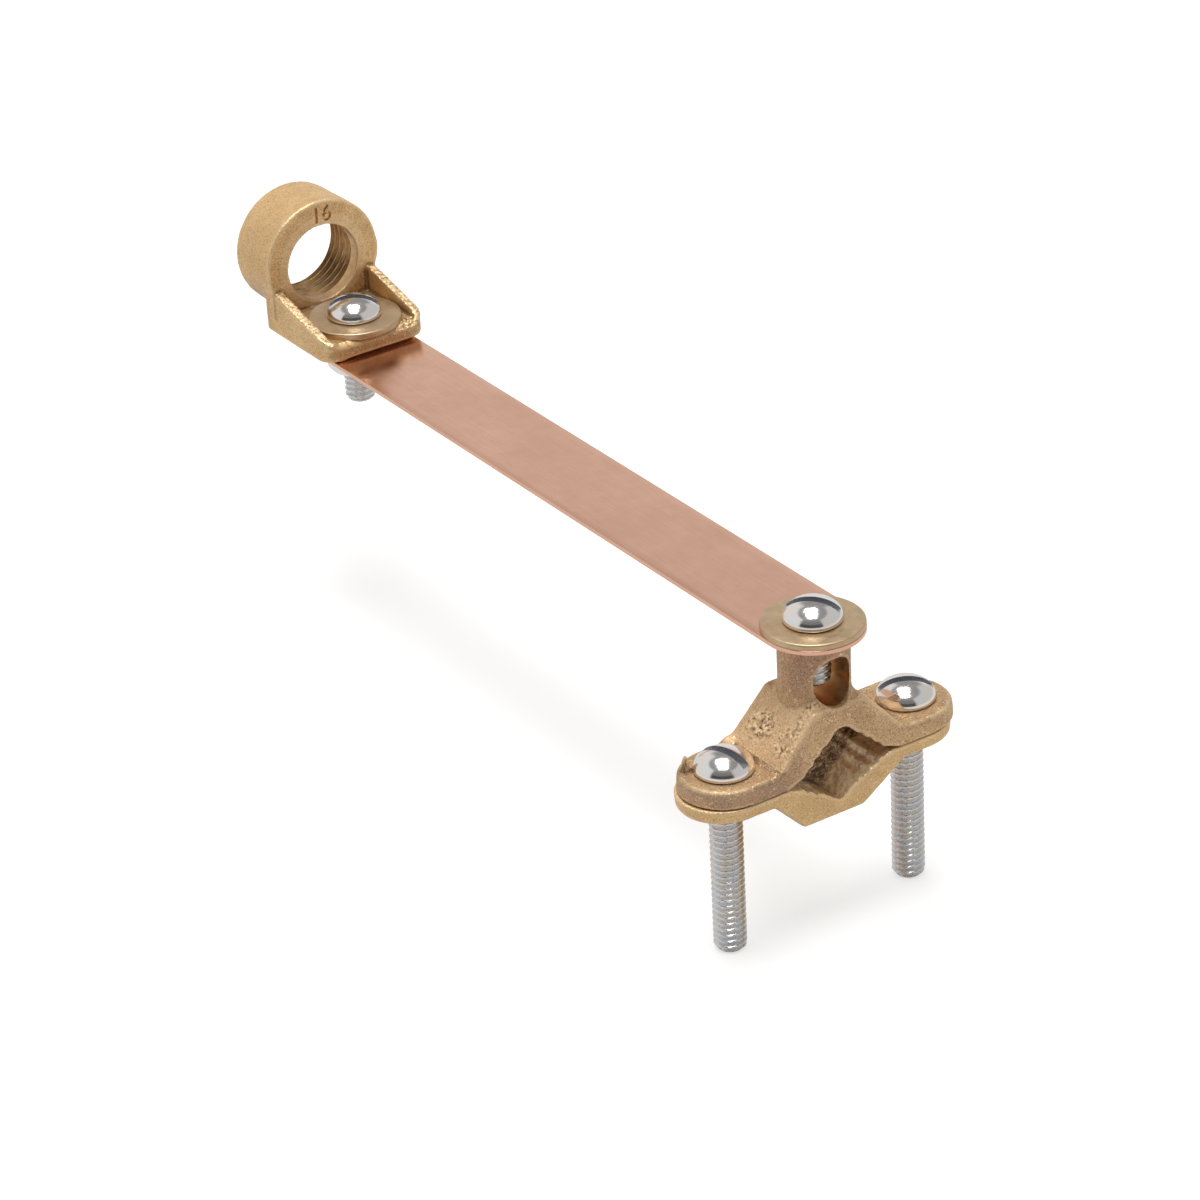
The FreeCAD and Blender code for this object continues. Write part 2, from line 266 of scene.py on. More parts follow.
def block(low: Triple, high: Triple) -> Surface:
    """Closed rectangular block between two corners, used only as a cutter."""
    corner = [(x, y, z) for z in (low[2], high[2]) for y in (low[1], high[1]) for x in (low[0], high[0])]
    quads = [[0, 2, 3, 1], [4, 5, 7, 6], [0, 1, 5, 4], [2, 6, 7, 3], [0, 4, 6, 2], [1, 3, 7, 5]]
    return Surface(np.array(corner, float), np.array(quads))


def combine(piece: Piece, others: list[Piece], operation: str) -> None:
    """Cuts closed shapes out of a closed piece, or unites them with it, and removes them.

    Args:
        piece: the object whose mesh is replaced by the new one.
        others: closed objects.
        operation: DIFFERENCE or UNION.
    """
    for other in others:
        modifier = piece.modifiers.new(operation.lower(), "BOOLEAN")
        modifier.operation = operation
        modifier.solver = "MANIFOLD"
        modifier.object = other
    bake_modifiers(piece)
    for other in others:
        bpy.data.objects.remove(other)


def bake_modifiers(piece: Piece) -> None:
    """Replaces a piece's mesh by the one its modifiers give."""
    graph = bpy.context.evaluated_depsgraph_get()
    mesh = bpy.data.meshes.new_from_object(piece.evaluated_get(graph))
    piece.modifiers.clear()
    piece.data = mesh


# Noise


@dataclass(frozen=True)
class LatticeNoise:
    """Smooth random field: a random unit vector sits on each corner of a cubic lattice.

    At a point, each of the eight corners around it gives the dot product of its vector with the
    offset from it, and the eight are blended by the fade 6t^5 - 15t^4 + 10t^3 along each axis.
    """

    wavelength: float
    seed: int

    def at(self, points: Array) -> Array:
        """Value of the field, about -0.7 to 0.7.

        Args:
            points: points by 3, in millimetres.

        Returns:
            One value per point.
        """
        vectors = np.random.default_rng(self.seed).normal(size=(512, 3))
        vectors /= np.linalg.norm(vectors, axis=1, keepdims=True)
        scaled = points / self.wavelength
        cell = np.floor(scaled).astype(np.int64)
        offset = scaled - cell
        fade = offset**3 * (offset * (offset * 6 - 15) + 10)
        total = np.zeros(len(points))
        for corner in np.ndindex(2, 2, 2):
            step = np.array(corner)
            spot = cell + step
            key = (spot[:, 0] * 73856093) ^ (spot[:, 1] * 19349663) ^ (spot[:, 2] * 83492791)
            vector = vectors[(key ^ (key >> 9)) % 512]
            weight = np.prod(np.where(step == 1, fade, 1 - fade), axis=1)
            total += weight * np.einsum("ij,ij->i", vector, offset - step)
        return total


def smooth_step(value: Array, low: float, high: float) -> Array:
    """0 below low, 1 above high, 3t^2 - 2t^3 between."""
    t = np.clip((value - low) / (high - low), 0, 1)
    return t * t * (3 - 2 * t)


@dataclass(frozen=True)
class Spot:
    """Soft spot: exp(-q^power), q the sum over the axes of ((p - centre) / spread)^2."""

    centre: Triple
    spread: Triple
    power: float = 1.0

    def at(self, points: Array) -> Array:
        """Strength of the spot, 1 at its centre.

        Args:
            points: points by 3, in millimetres.

        Returns:
            One value per point.
        """
        reach = (((points - np.array(self.centre)) / np.array(self.spread)) ** 2).sum(axis=1)
        return np.exp(-(reach**self.power))


# Materials


class NodeBoard:
    """A node tree with short calls for the nodes that materials and studio share."""

    def __init__(self, tree: bpy.types.NodeTree) -> None:
        """Keeps the tree."""
        self.tree = tree

    def put(self, node: bpy.types.Node, inputs: Inputs) -> None:
        """Links or sets a node's inputs.

        Args:
            node: the node.
            inputs: a source or a constant for each named or numbered input.
        """
        for name, value in inputs.items():
            if isinstance(value, bpy.types.NodeSocket):
                self.tree.links.new(value, node.inputs[name])
            else:
                node.inputs[name].default_value = value

    def add(self, kind: str, inputs: Inputs, **options: str) -> bpy.types.Node:
        """Adds a node.

        Args:
            kind: the shader node's type.
            inputs: a source or a constant for each named or numbered input.
            options: the node's own settings.

        Returns:
            The node.
        """
        node = self.tree.nodes.new("ShaderNode" + kind)
        for name, value in options.items():
            setattr(node, name, value)
        self.put(node, inputs)
        return node

    def fit(
        self, source: Socket, low: float, high: float, to_low: float = 0.0, to_high: float = 1.0
    ) -> Socket:
        """Maps low..high of a number to to_low..to_high, smoothly, and clamps it.

        Args:
            source: the number.
            low, high: where the ramp starts and ends.
            to_low, to_high: its values there.

        Returns:
            The mapped number.
        """
        inputs = {"Value": source, "From Min": low, "From Max": high, "To Min": to_low, "To Max": to_high}
        return self.add("MapRange", inputs, interpolation_type="SMOOTHSTEP").outputs[0]

    def arithmetic(self, operation: str, first: Socket, second: Socket | float) -> Socket:
        """One Math node."""
        return self.add("Math", {0: first, 1: second}, operation=operation).outputs[0]


class Wiring(NodeBoard):
    """A material's node tree with the textures that the finishes use."""

    FIRST_COLOUR, SECOND_COLOUR, MIXED_COLOUR = 6, 7, 2

    def __init__(self, name: str) -> None:
        """Starts a material with one Principled shader.

        Args:
            name: the material's name.
        """
        self.material = bpy.data.materials.new(name)
        self.material.use_nodes = True
        super().__init__(self.material.node_tree)
        self.shader = self.tree.nodes["Principled BSDF"]
        self.object_coordinates = self.add("TexCoord", {}).outputs["Object"]

    def feed(self, socket: str, source: Socket | float) -> None:
        """Links a source to one of the shader's sockets, or sets the socket."""
        self.put(self.shader, {socket: source})

    def attribute(self, name: str) -> Socket:
        """A number stored on the mesh's points."""
        return self.add("Attribute", {}, attribute_name=name).outputs["Fac"]

    def noise(
        self,
        size_mm: float,
        detail: float = 2.0,
        roughness: float = 0.5,
        stretch: Triple = (1, 1, 1),
    ) -> Socket:
        """Noise on Object coordinates.

        Args:
            size_mm: the length of one wave.
            detail: octaves.
            roughness: strength of each octave against the one before.
            stretch: factors on the three axes.

        Returns:
            The noise, 0 to 1.
        """
        place = self.add("Mapping", {"Vector": self.object_coordinates, "Scale": stretch}).outputs["Vector"]
        inputs = {"Vector": place, "Scale": 1 / (size_mm * MM), "Detail": detail, "Roughness": roughness}
        return self.add("TexNoise", inputs).outputs["Fac"]

    def cells(self, size_mm: float) -> Socket:
        """Distance to the nearest of scattered points, for pits and grains."""
        inputs = {"Vector": self.object_coordinates, "Scale": 1 / (size_mm * MM)}
        return self.add("TexVoronoi", inputs).outputs["Distance"]

    def mix(self, factor: Socket, first: Socket | Colour, second: Socket | Colour) -> Socket:
        """Colour between two colours.

        Args:
            factor: 0 gives the first, 1 the second.
            first, second: a socket, or linear red, green and blue.

        Returns:
            The mixed colour.
        """
        ends = [(*colour, 1) if isinstance(colour, tuple) else colour for colour in (first, second)]
        inputs = {"Factor": factor, self.FIRST_COLOUR: ends[0], self.SECOND_COLOUR: ends[1]}
        return self.add("Mix", inputs, data_type="RGBA").outputs[self.MIXED_COLOUR]

    def bump(self, layers: list[tuple[Socket, float]]) -> None:
        """Chains bump nodes into the shader's normal.

        Args:
            layers: (height source, relief in millimetres).
        """
        normal = {}
        for source, relief in layers:
            inputs = {"Strength": 1.0, "Distance": relief * MM, "Height": source, **normal}
            normal = {"Normal": self.add("Bump", inputs).outputs["Normal"]}
        self.put(self.shader, normal)


@dataclass(frozen=True)
class CastBronze:
    """Shot-blasted sand casting: clouds of gold and tan, pale edges partly polished by wear and partly a
    painted highlight, brown hollows, painted glints.
    """

    name: str = "cast_bronze_fine"
    gold: Colour = (0.83, 0.56, 0.275)
    tan: Colour = (0.74, 0.485, 0.23)
    rose: Colour = (0.44, 0.275, 0.19)
    brown: Colour = (0.125, 0.067, 0.028)
    spark: Colour = (0.95, 0.73, 0.46)
    metallic: float = 0.72
    rough_low: float = 0.44
    rough_high: float = 0.56
    speck: float = 0.40
    glint_from: float = 0.60
    glint_share: float = 0.6
    grain_relief: float = 0.05

    def build(self) -> Material:
        """Returns the material; it reads the points' attributes: relief, the share of painted shade and
        brown, rose, the share of painted light and polished wear, and scuff.
        """
        w = Wiring(self.name)
        cloud = w.fit(w.noise(5.0, 4.0, 0.6), 0.38, 0.64)
        grain = w.noise(0.30, 2.0, 0.6)
        colour = w.mix(cloud, self.tan, self.gold)
        colour = w.mix(w.attribute("rose"), colour, self.rose)
        # This attribute mixes in brown: painted shade in recesses and on shaded faces, plain darker brown
        # elsewhere.
        colour = w.mix(w.attribute("painted_shade_and_brown"), colour, self.brown)
        colour = w.mix(w.fit(grain, 0.32, 0.52, self.speck, 0.0), colour, self.brown)
        hollow = w.fit(w.attribute("relief"), -0.15, -0.9, 0.0, 0.7)
        colour = w.mix(hollow, colour, self.brown)
        # This attribute mixes in the spark colour: painted light, and on the hub's rims also metal polished
        # by wear.
        colour = w.mix(w.attribute("painted_light_and_rub"), colour, self.spark)
        # Pale convex edges: partly polished by wear, partly a painted highlight.
        rubbed_and_highlight = w.fit(w.attribute("relief"), 0.3, 1.0, 0.0, 0.35)
        colour = w.mix(rubbed_and_highlight, colour, self.spark)
        # Painted glints: scattered specks in patches get the spark colour, and are also made more metallic
        # and smoother.
        patchy = w.fit(w.noise(2.2, 2.0), 0.38, 0.66, 0.15, self.glint_share)
        grains = w.fit(w.noise(0.36, 1.0), self.glint_from, self.glint_from + 0.08)
        glint = w.arithmetic("MULTIPLY", grains, patchy)
        colour = w.mix(glint, colour, self.spark)
        scuff = w.attribute("scuff")
        flakes = w.noise(0.75, 2.0, 0.6)
        pits = w.arithmetic("MULTIPLY", scuff, w.fit(flakes, 0.38, 0.46, 0.85, 0.0))
        colour = w.mix(pits, colour, self.brown)
        bare = w.arithmetic("MULTIPLY", scuff, w.fit(flakes, 0.52, 0.58, 0.0, 0.95))
        colour = w.mix(bare, colour, self.spark)
        w.feed("Base Color", colour)
        w.feed("Metallic", w.fit(glint, 0.0, 1.0, self.metallic, 0.9))
        rough = w.fit(grain, 0.35, 0.65, self.rough_high, self.rough_low)
        w.feed("Roughness", w.arithmetic("SUBTRACT", rough, w.arithmetic("MULTIPLY", glint, 0.25)))
        layers = [(w.noise(0.9, 2.0, 0.6), 0.08), (w.cells(0.4), 0.05), (grain, self.grain_relief)]
        w.bump([*layers, (w.arithmetic("MULTIPLY", scuff, flakes), 0.3)])
        return w.material


@dataclass(frozen=True)
class MachinedBronze:
    """Cut bronze in the threads and the wire port: smooth, with faint tool lines."""

    tone: Colour = (0.51, 0.31, 0.145)
    pale: Colour = (0.66, 0.43, 0.215)

    def build(self) -> Material:
        """Returns the material."""
        w = Wiring("machined_bronze")
        w.feed("Metallic", 1.0)
        shade_of = w.fit(w.noise(2.5, 3.0), 0.3, 0.7)
        w.feed("Base Color", w.mix(shade_of, self.tone, self.pale))
        w.feed("Roughness", w.fit(w.noise(0.6, 2.0), 0.3, 0.7, 0.28, 0.42))
        w.bump([(w.noise(0.25, 2.0, 0.5), 0.012)])
        return w.material


@dataclass(frozen=True)
class CopperStrip:
    """Rolled copper: satin, with faint lines along its length and a slightly paler bloom."""

    tone: Colour = (0.80, 0.465, 0.325)
    pale: Colour = (0.84, 0.50, 0.36)
    line: Colour = (0.58, 0.31, 0.20)

    def build(self) -> Material:
        """Returns the material."""
        w = Wiring("copper_strip")
        w.feed("Metallic", 1.0)
        bloom = w.fit(w.noise(14.0, 3.0), 0.35, 0.7)
        colour = w.mix(bloom, self.tone, self.pale)
        lines = w.noise(0.5, 3.0, 0.6, (1.0, 0.03, 1.0))
        colour = w.mix(w.fit(lines, 0.35, 0.65, 0.0, 0.12), colour, self.line)
        w.feed("Base Color", colour)
        w.feed("Roughness", w.fit(w.noise(3.0, 3.0), 0.3, 0.7, 0.20, 0.26))
        w.bump([(lines, 0.005)])
        return w.material


@dataclass(frozen=True)
class TumbledBrass:
    """Punched brass washers tumbled to an even olive sheen."""

    tone: Colour = (0.55, 0.385, 0.225)
    pale: Colour = (0.62, 0.46, 0.29)
    nick: Colour = (0.26, 0.18, 0.09)

    def build(self) -> Material:
        """Returns the material."""
        w = Wiring("brass_washer")
        w.feed("Metallic", 1.0)
        patch = w.fit(w.noise(5.0, 4.0, 0.6), 0.35, 0.65)
        colour = w.mix(patch, self.tone, self.pale)
        nicks = w.noise(0.35, 2.0, 0.6)
        colour = w.mix(w.fit(nicks, 0.30, 0.45, 0.25, 0.0), colour, self.nick)
        w.feed("Base Color", colour)
        w.feed("Roughness", w.fit(w.noise(1.6, 3.0), 0.3, 0.7, 0.38, 0.50))
        w.bump([(nicks, 0.012), (w.noise(1.8, 2.0), 0.02)])
        return w.material


@dataclass(frozen=True)
class PlatedSteel:
    """Bright zinc plate in slightly warm and cool patches."""

    tone: Colour = (0.87, 0.845, 0.82)
    rough_low: float = 0.12
    rough_high: float = 0.17
    metallic: float = 0.96
    name: str = "plated_steel"
    warm: Colour = (1.0, 0.965, 0.92)
    cool: Colour = (0.965, 0.98, 1.0)

    def build(self) -> Material:
        """Returns the material."""
        w = Wiring(self.name)
        w.feed("Metallic", self.metallic)
        tint = w.fit(w.noise(2.2, 2.0), 0.38, 0.62)
        warm = tuple(part * factor for part, factor in zip(self.tone, self.warm))
        cool = tuple(part * factor for part, factor in zip(self.tone, self.cool))
        w.feed("Base Color", w.mix(tint, warm, cool))
        w.feed("Roughness", w.fit(w.noise(0.8, 3.0), 0.3, 0.7, self.rough_low, self.rough_high))
        w.bump([(w.noise(0.7, 2.0), 0.006)])
        return w.material


class FinishBook:
    """Builds each finish once and dresses pieces in them."""

    def __init__(self) -> None:
        """Builds every material of the clamp."""
        self.fine_bronze = CastBronze().build()
        self.rough_bronze = CastBronze(
            name="cast_bronze_rough",
            gold=(0.76, 0.51, 0.28),
            tan=(0.65, 0.425, 0.23),
            rose=(0.52, 0.32, 0.215),
            metallic=0.6,
            rough_low=0.56,
            rough_high=0.70,
            speck=0.5,
            glint_from=0.575,
            glint_share=0.7,
            grain_relief=0.07,
        ).build()
        self.machined = MachinedBronze().build()
        self.copper = CopperStrip().build()
        self.brass = TumbledBrass().build()
        self.head_steel = PlatedSteel().build()
        self.thread_steel = PlatedSteel((0.73, 0.73, 0.735), 0.22, 0.32, 0.96, "plated_thread").build()
        # Darker steel on the walls and the floor of the slot: painted shade.
        self.slot_shade_steel = PlatedSteel((0.44, 0.46, 0.50), 0.18, 0.28, 0.75, "plated_slot_shade").build()

    def dress(self, piece: Piece, *materials: Material) -> None:
        """Gives a piece its materials in order, in place of any it has."""
        piece.data.materials.clear()
        for material in materials:
            piece.data.materials.append(material)


# Pieces


def stand_for(piece: Piece, node: str, body: str) -> None:
    """Makes a piece take the place of a node of the solids.

    Args:
        piece: the finished piece.
        node: the node that it stands for.
        body: the body that it moves with.
    """
    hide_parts(node)
    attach(piece, body)
    LOG.info("%s stands for %s on %s: %d faces", piece.name, node, body, len(piece.data.polygons))


@dataclass
class SlottedScrew:
    """Round-headed slotted machine screw with its rolled thread."""

    node: str
    x: float
    y: float
    seat: float
    length: float
    slot_turn: float
    head_radius: float = 5.72
    head_height: float = 4.2
    rim_height: float = 0.55
    slot_width: float = 1.8
    slot_depth: float = 2.1
    major_radius: float = 3.175
    pitch: float = 1.27
    thread_depth: float = 0.72
    tip_chamfer: float = 0.8
    tip_flat: float = 1.2
    neck_relief: float = 0.15
    neck_ends: tuple[float, float] = (-1.1, -0.3)
    foot_chamfer: float = 0.35
    foot_rounding: float = 0.2
    flank_ends: tuple[float, float] = (0.14, 0.82)
    segments: int = 96
    rows_per_turn: int = 14

    def ridge(self, phase: Array) -> Array:
        """Height of the thread's ridge, 1 at the crest and 0 at the root.

        The distance q from the crest runs from 0 to 1 at half a turn. The flank falls in a
        straight line from q = 0.14 to q = 0.82, with both ends eased by 3t^2 - 2t^3.

        Args:
            phase: turns along the helix.

        Returns:
            The height at each phase.
        """
        q = np.abs((phase % 1.0) - 0.5) * 2
        start, end = self.flank_ends
        t = np.clip((end - q) / (end - start), 0, 1)
        return 0.6 * t + 0.4 * t * t * (3 - 2 * t)

    def outline(self) -> Surface:
        """Whole screw without its slot, standing on its seat at the origin.

        The shank's radius at angle a and height z is the root radius plus the ridge at phase
        z / pitch - a / turn, cut by the cone of the tip's chamfer. The head is an upright rim with a
        rounded foot and over it the upper half of an ellipse, r = R cos t and h = rim + H sin t.

        Returns:
            The closed surface.
        """
        angle = circle_angles(self.segments)
        count = int(self.length / self.pitch * self.rows_per_turn)
        z = np.linspace(-self.length, -0.02, count)[:, None]
        phase = z / self.pitch - angle[None, :] / (2 * math.pi)
        radius = self.major_radius - self.thread_depth * (1 - self.ridge(phase))
        cone = self.major_radius - self.tip_chamfer + (z + self.length)
        radius = np.minimum(radius, cone)
        neck = smooth_step(z, *self.neck_ends)
        radius = radius * (1 - neck) + (self.major_radius - self.neck_relief) * neck
        shank = turned(radius, z, angle)
        tip = turned(np.array([[0.0], [self.tip_flat]]), np.array([[-self.length]] * 2), angle)
        rim = self.head_radius
        foot, bend = self.foot_chamfer, self.foot_rounding
        corners = [(self.major_radius, 0, 0), (rim - foot, 0, bend), (rim, foot, bend)]
        under = rounded_profile([*corners, (rim, self.rim_height, 0)], 6)
        t = np.linspace(0, math.pi / 2, 40)[1:, None]
        rise = self.rim_height + (self.head_height - self.rim_height) * np.sin(t)
        dome = turned(rim * np.cos(t), rise, angle)
        collar = turned(under[:, :1], under[:, 1:], angle)
        return grid_surface(np.concatenate([tip, shank, collar, dome]))

    def slot_cutter(self) -> Surface:
        """Sawn slot: a block from the slot's floor to above the crown."""
        half = self.slot_width / 2
        reach = 1.4 * self.head_radius
        floor = self.head_height - self.slot_depth
        cutter = block((-reach, -half, floor), (reach, half, self.head_height + 1))
        return cutter.placed(0, 0, 0, self.slot_turn)

    def finish_numbers(self, mesh: Mesh) -> Array:
        """Which finish each face of the placed screw wears.

        Args:
            mesh: the screw's mesh.

        Returns:
            0 on the head, 1 on the thread, 2 on the walls and the floor of the slot.
        """
        centres = np.empty(len(mesh.polygons) * 3)
        mesh.polygons.foreach_get("center", centres)
        centres = centres.reshape(-1, 3) / MM - np.array([self.x, self.y, self.seat])
        turn = math.radians(self.slot_turn)
        across = np.abs(centres[:, 1] * math.cos(turn) - centres[:, 0] * math.sin(turn))
        floor = self.head_height - self.slot_depth
        in_slot = (across < self.slot_width / 2 + 0.01) & (centres[:, 2] > floor - 0.01)
        return np.where(in_slot, 2, np.where(centres[:, 2] < -0.01, 1, 0)).astype(np.int32)

    def build(self, finishes: FinishBook) -> Piece:
        """Makes, places and dresses the screw.

        Args:
            finishes: the materials.

        Returns:
            The piece.
        """
        piece = self.outline().to_object(self.node + "_threaded")
        combine(piece, [self.slot_cutter().to_object("slot_cutter")], "DIFFERENCE")
        piece.data.transform(Matrix.Translation(Vector((self.x, self.y, self.seat)) * MM))
        shade(piece.data, 35.0)
        finishes.dress(piece, finishes.head_steel, finishes.thread_steel, finishes.slot_shade_steel)
        piece.data.polygons.foreach_set("material_index", self.finish_numbers(piece.data))
        stand_for(piece, self.node, self.node)
        return piece


@dataclass
class FlatWasher:
    """Punched washer whose top dips a little towards its rounded rim."""

    node: str
    y: float
    bottom: float
    thickness: float
    radius: float = 9.8
    hole_radius: float = 3.5
    dip: float = 0.12

    def build(self, finishes: FinishBook) -> Piece:
        """Turns the washer's section round its axis.

        Args:
            finishes: the materials.

        Returns:
            The piece.
        """
        low, high = self.bottom, self.bottom + self.thickness
        section = rounded_profile(
            [
                (self.hole_radius, high - 0.1, 0),
                (self.hole_radius, low, 0.06),
                (self.radius, low, 0.15),
                (self.radius, high - self.dip, 0.35),
                (self.radius - 1.6, high, 0.8),
                (self.hole_radius, high, 0.1),
                (self.hole_radius, high - 0.1, 0),
            ],
            6,
        )[:-1]
        angle = circle_angles(160)
        grid = turned(section[:, :1], section[:, 1:], angle)
        piece = grid_surface(grid, along=True).placed(0, self.y, 0).to_object(self.node + "_punched")
        finishes.dress(piece, finishes.brass)
        stand_for(piece, self.node, self.node)
        return piece


@dataclass
class CopperStrap:
    """Flat strip with round ends, sheared and lightly deburred edges."""

    length: float = 159.5
    width: float = 19.75
    bottom: float = 25.24
    thickness: float = 0.9
    hole_radius: float = 3.5
    edge: float = 0.16

    def plate(self) -> Surface:
        """Strip without holes.

        A point of the plate is the spine point of its column, moved outwards by a share of the
        half width; the share and the height follow the section from the spine to the rounded edge
        and back. The spine point is the nearest point of the line between the hole centres.

        Returns:
            The closed surface.
        """
        half = self.width / 2
        side = np.linspace(0, self.length, 64)
        turn = np.linspace(0, math.pi, 60)
        ahead = np.stack([half * np.cos(turn), self.length + half * np.sin(turn)], axis=-1)
        behind = np.stack([-half * np.cos(turn), -half * np.sin(turn)], axis=-1)
        right = np.stack([np.full(62, half), side[1:-1]], axis=-1)
        left = np.stack([np.full(62, -half), side[1:-1][::-1]], axis=-1)
        outline = np.vstack([right, ahead, left, behind])
        spine = np.stack([np.zeros(len(outline)), np.clip(outline[:, 1], 0, self.length)], axis=-1)
        low, high = self.bottom, self.bottom + self.thickness
        section = rounded_profile(
            [(0, low, 0), (half, low, self.edge), (half, high, self.edge), (0, high, 0)], 5
        )
        inner = np.linspace(0, 1, 7)[1:-1, None]
        first = section[0] + (section[1] - section[0]) * inner
        last = section[-2] + (section[-1] - section[-2]) * inner
        section = np.vstack([section[:1], first, section[1:-1], last, section[-1:]])
        share = section[:, 0][:, None, None] / half
        plan = spine[None] + (outline - spine)[None] * share
        height = np.broadcast_to(section[:, 1][:, None, None], plan.shape[:2] + (1,))
        return grid_surface(np.concatenate([plan, height], axis=-1))

    def hole_cutter(self, y: float) -> Surface:
        """Drill through one end."""
        profile = np.array([(0, -1), (self.hole_radius, -1), (self.hole_radius, 3), (0, 3)], float)
        grid = turned(profile[:, :1], profile[:, 1:] + self.bottom, circle_angles(64))
        return grid_surface(grid).placed(0, y, 0)

    def build(self, finishes: FinishBook) -> Piece:
        """Makes and dresses the strap.

        Args:
            finishes: the materials.

        Returns:
            The piece.
        """
        piece = self.plate().to_object("strap_rolled")
        cutters = [self.hole_cutter(y).to_object("drill") for y in (0, self.length)]
        combine(piece, cutters, "DIFFERENCE")
        shade(piece.data, 30.0)
        finishes.dress(piece, finishes.copper)
        stand_for(piece, "strap", "strap")
        return piece


@dataclass
class HexNut:
    """Hexagon nut whose faces meet a cone at both ends."""

    y: float = 159.5
    top: float = 25.24
    thickness: float = 5.5
    across_flats: float = 11.1
    bore_radius: float = 3.225
    turn: float = 30.0
    cone_height: float = 0.6
    cone_inset: float = 0.12
    corner_inset: float = 0.08
    mouth_radius: float = 0.35
    mouth_depth: float = 0.4

    def build(self, finishes: FinishBook) -> Piece:
        """Makes and dresses the nut.

        The outer radius at angle a is the hexagon's, half the width over the cosine of the angle
        from the nearest face's middle, cut down near each end by a 30 degree cone.

        Args:
            finishes: the materials.

        Returns:
            The piece.
        """
        angle = circle_angles(144) + math.radians(self.turn)
        half = self.across_flats / 2
        corner = half / math.cos(math.pi / 6)
        local = (angle - math.radians(self.turn)) % (math.pi / 3) - math.pi / 6
        hexagon = half / np.cos(local)
        high = self.thickness
        low_cone = np.linspace(0, self.cone_height, 8)
        middle = np.linspace(self.cone_height, high - self.cone_height, 5)[1:-1]
        rise = np.concatenate([low_cone, middle, np.linspace(high - self.cone_height, high, 8)])
        slope = math.tan(math.radians(60))
        cones = half - self.cone_inset + np.minimum(rise, high - rise) * slope
        outer = np.minimum(np.minimum(hexagon[None, :], cones[:, None]), corner - self.corner_inset)
        bottom = self.top - high
        wall = turned(outer, rise[:, None] + bottom, angle)
        narrow, wide = self.bore_radius, self.bore_radius + self.mouth_radius
        mouth = self.mouth_depth
        bore = np.array([[wide, high], [narrow, high - mouth], [narrow, mouth], [wide, 0.0]])
        inner = turned(bore[:, :1], bore[:, 1:] + bottom, angle)
        nut = grid_surface(np.concatenate([wall, inner]), along=True)
        piece = nut.placed(0, self.y, 0).to_object("hub_nut_hex", 25)
        finishes.dress(piece, finishes.head_steel)
        stand_for(piece, "hub_nut", "strap")
        return piece


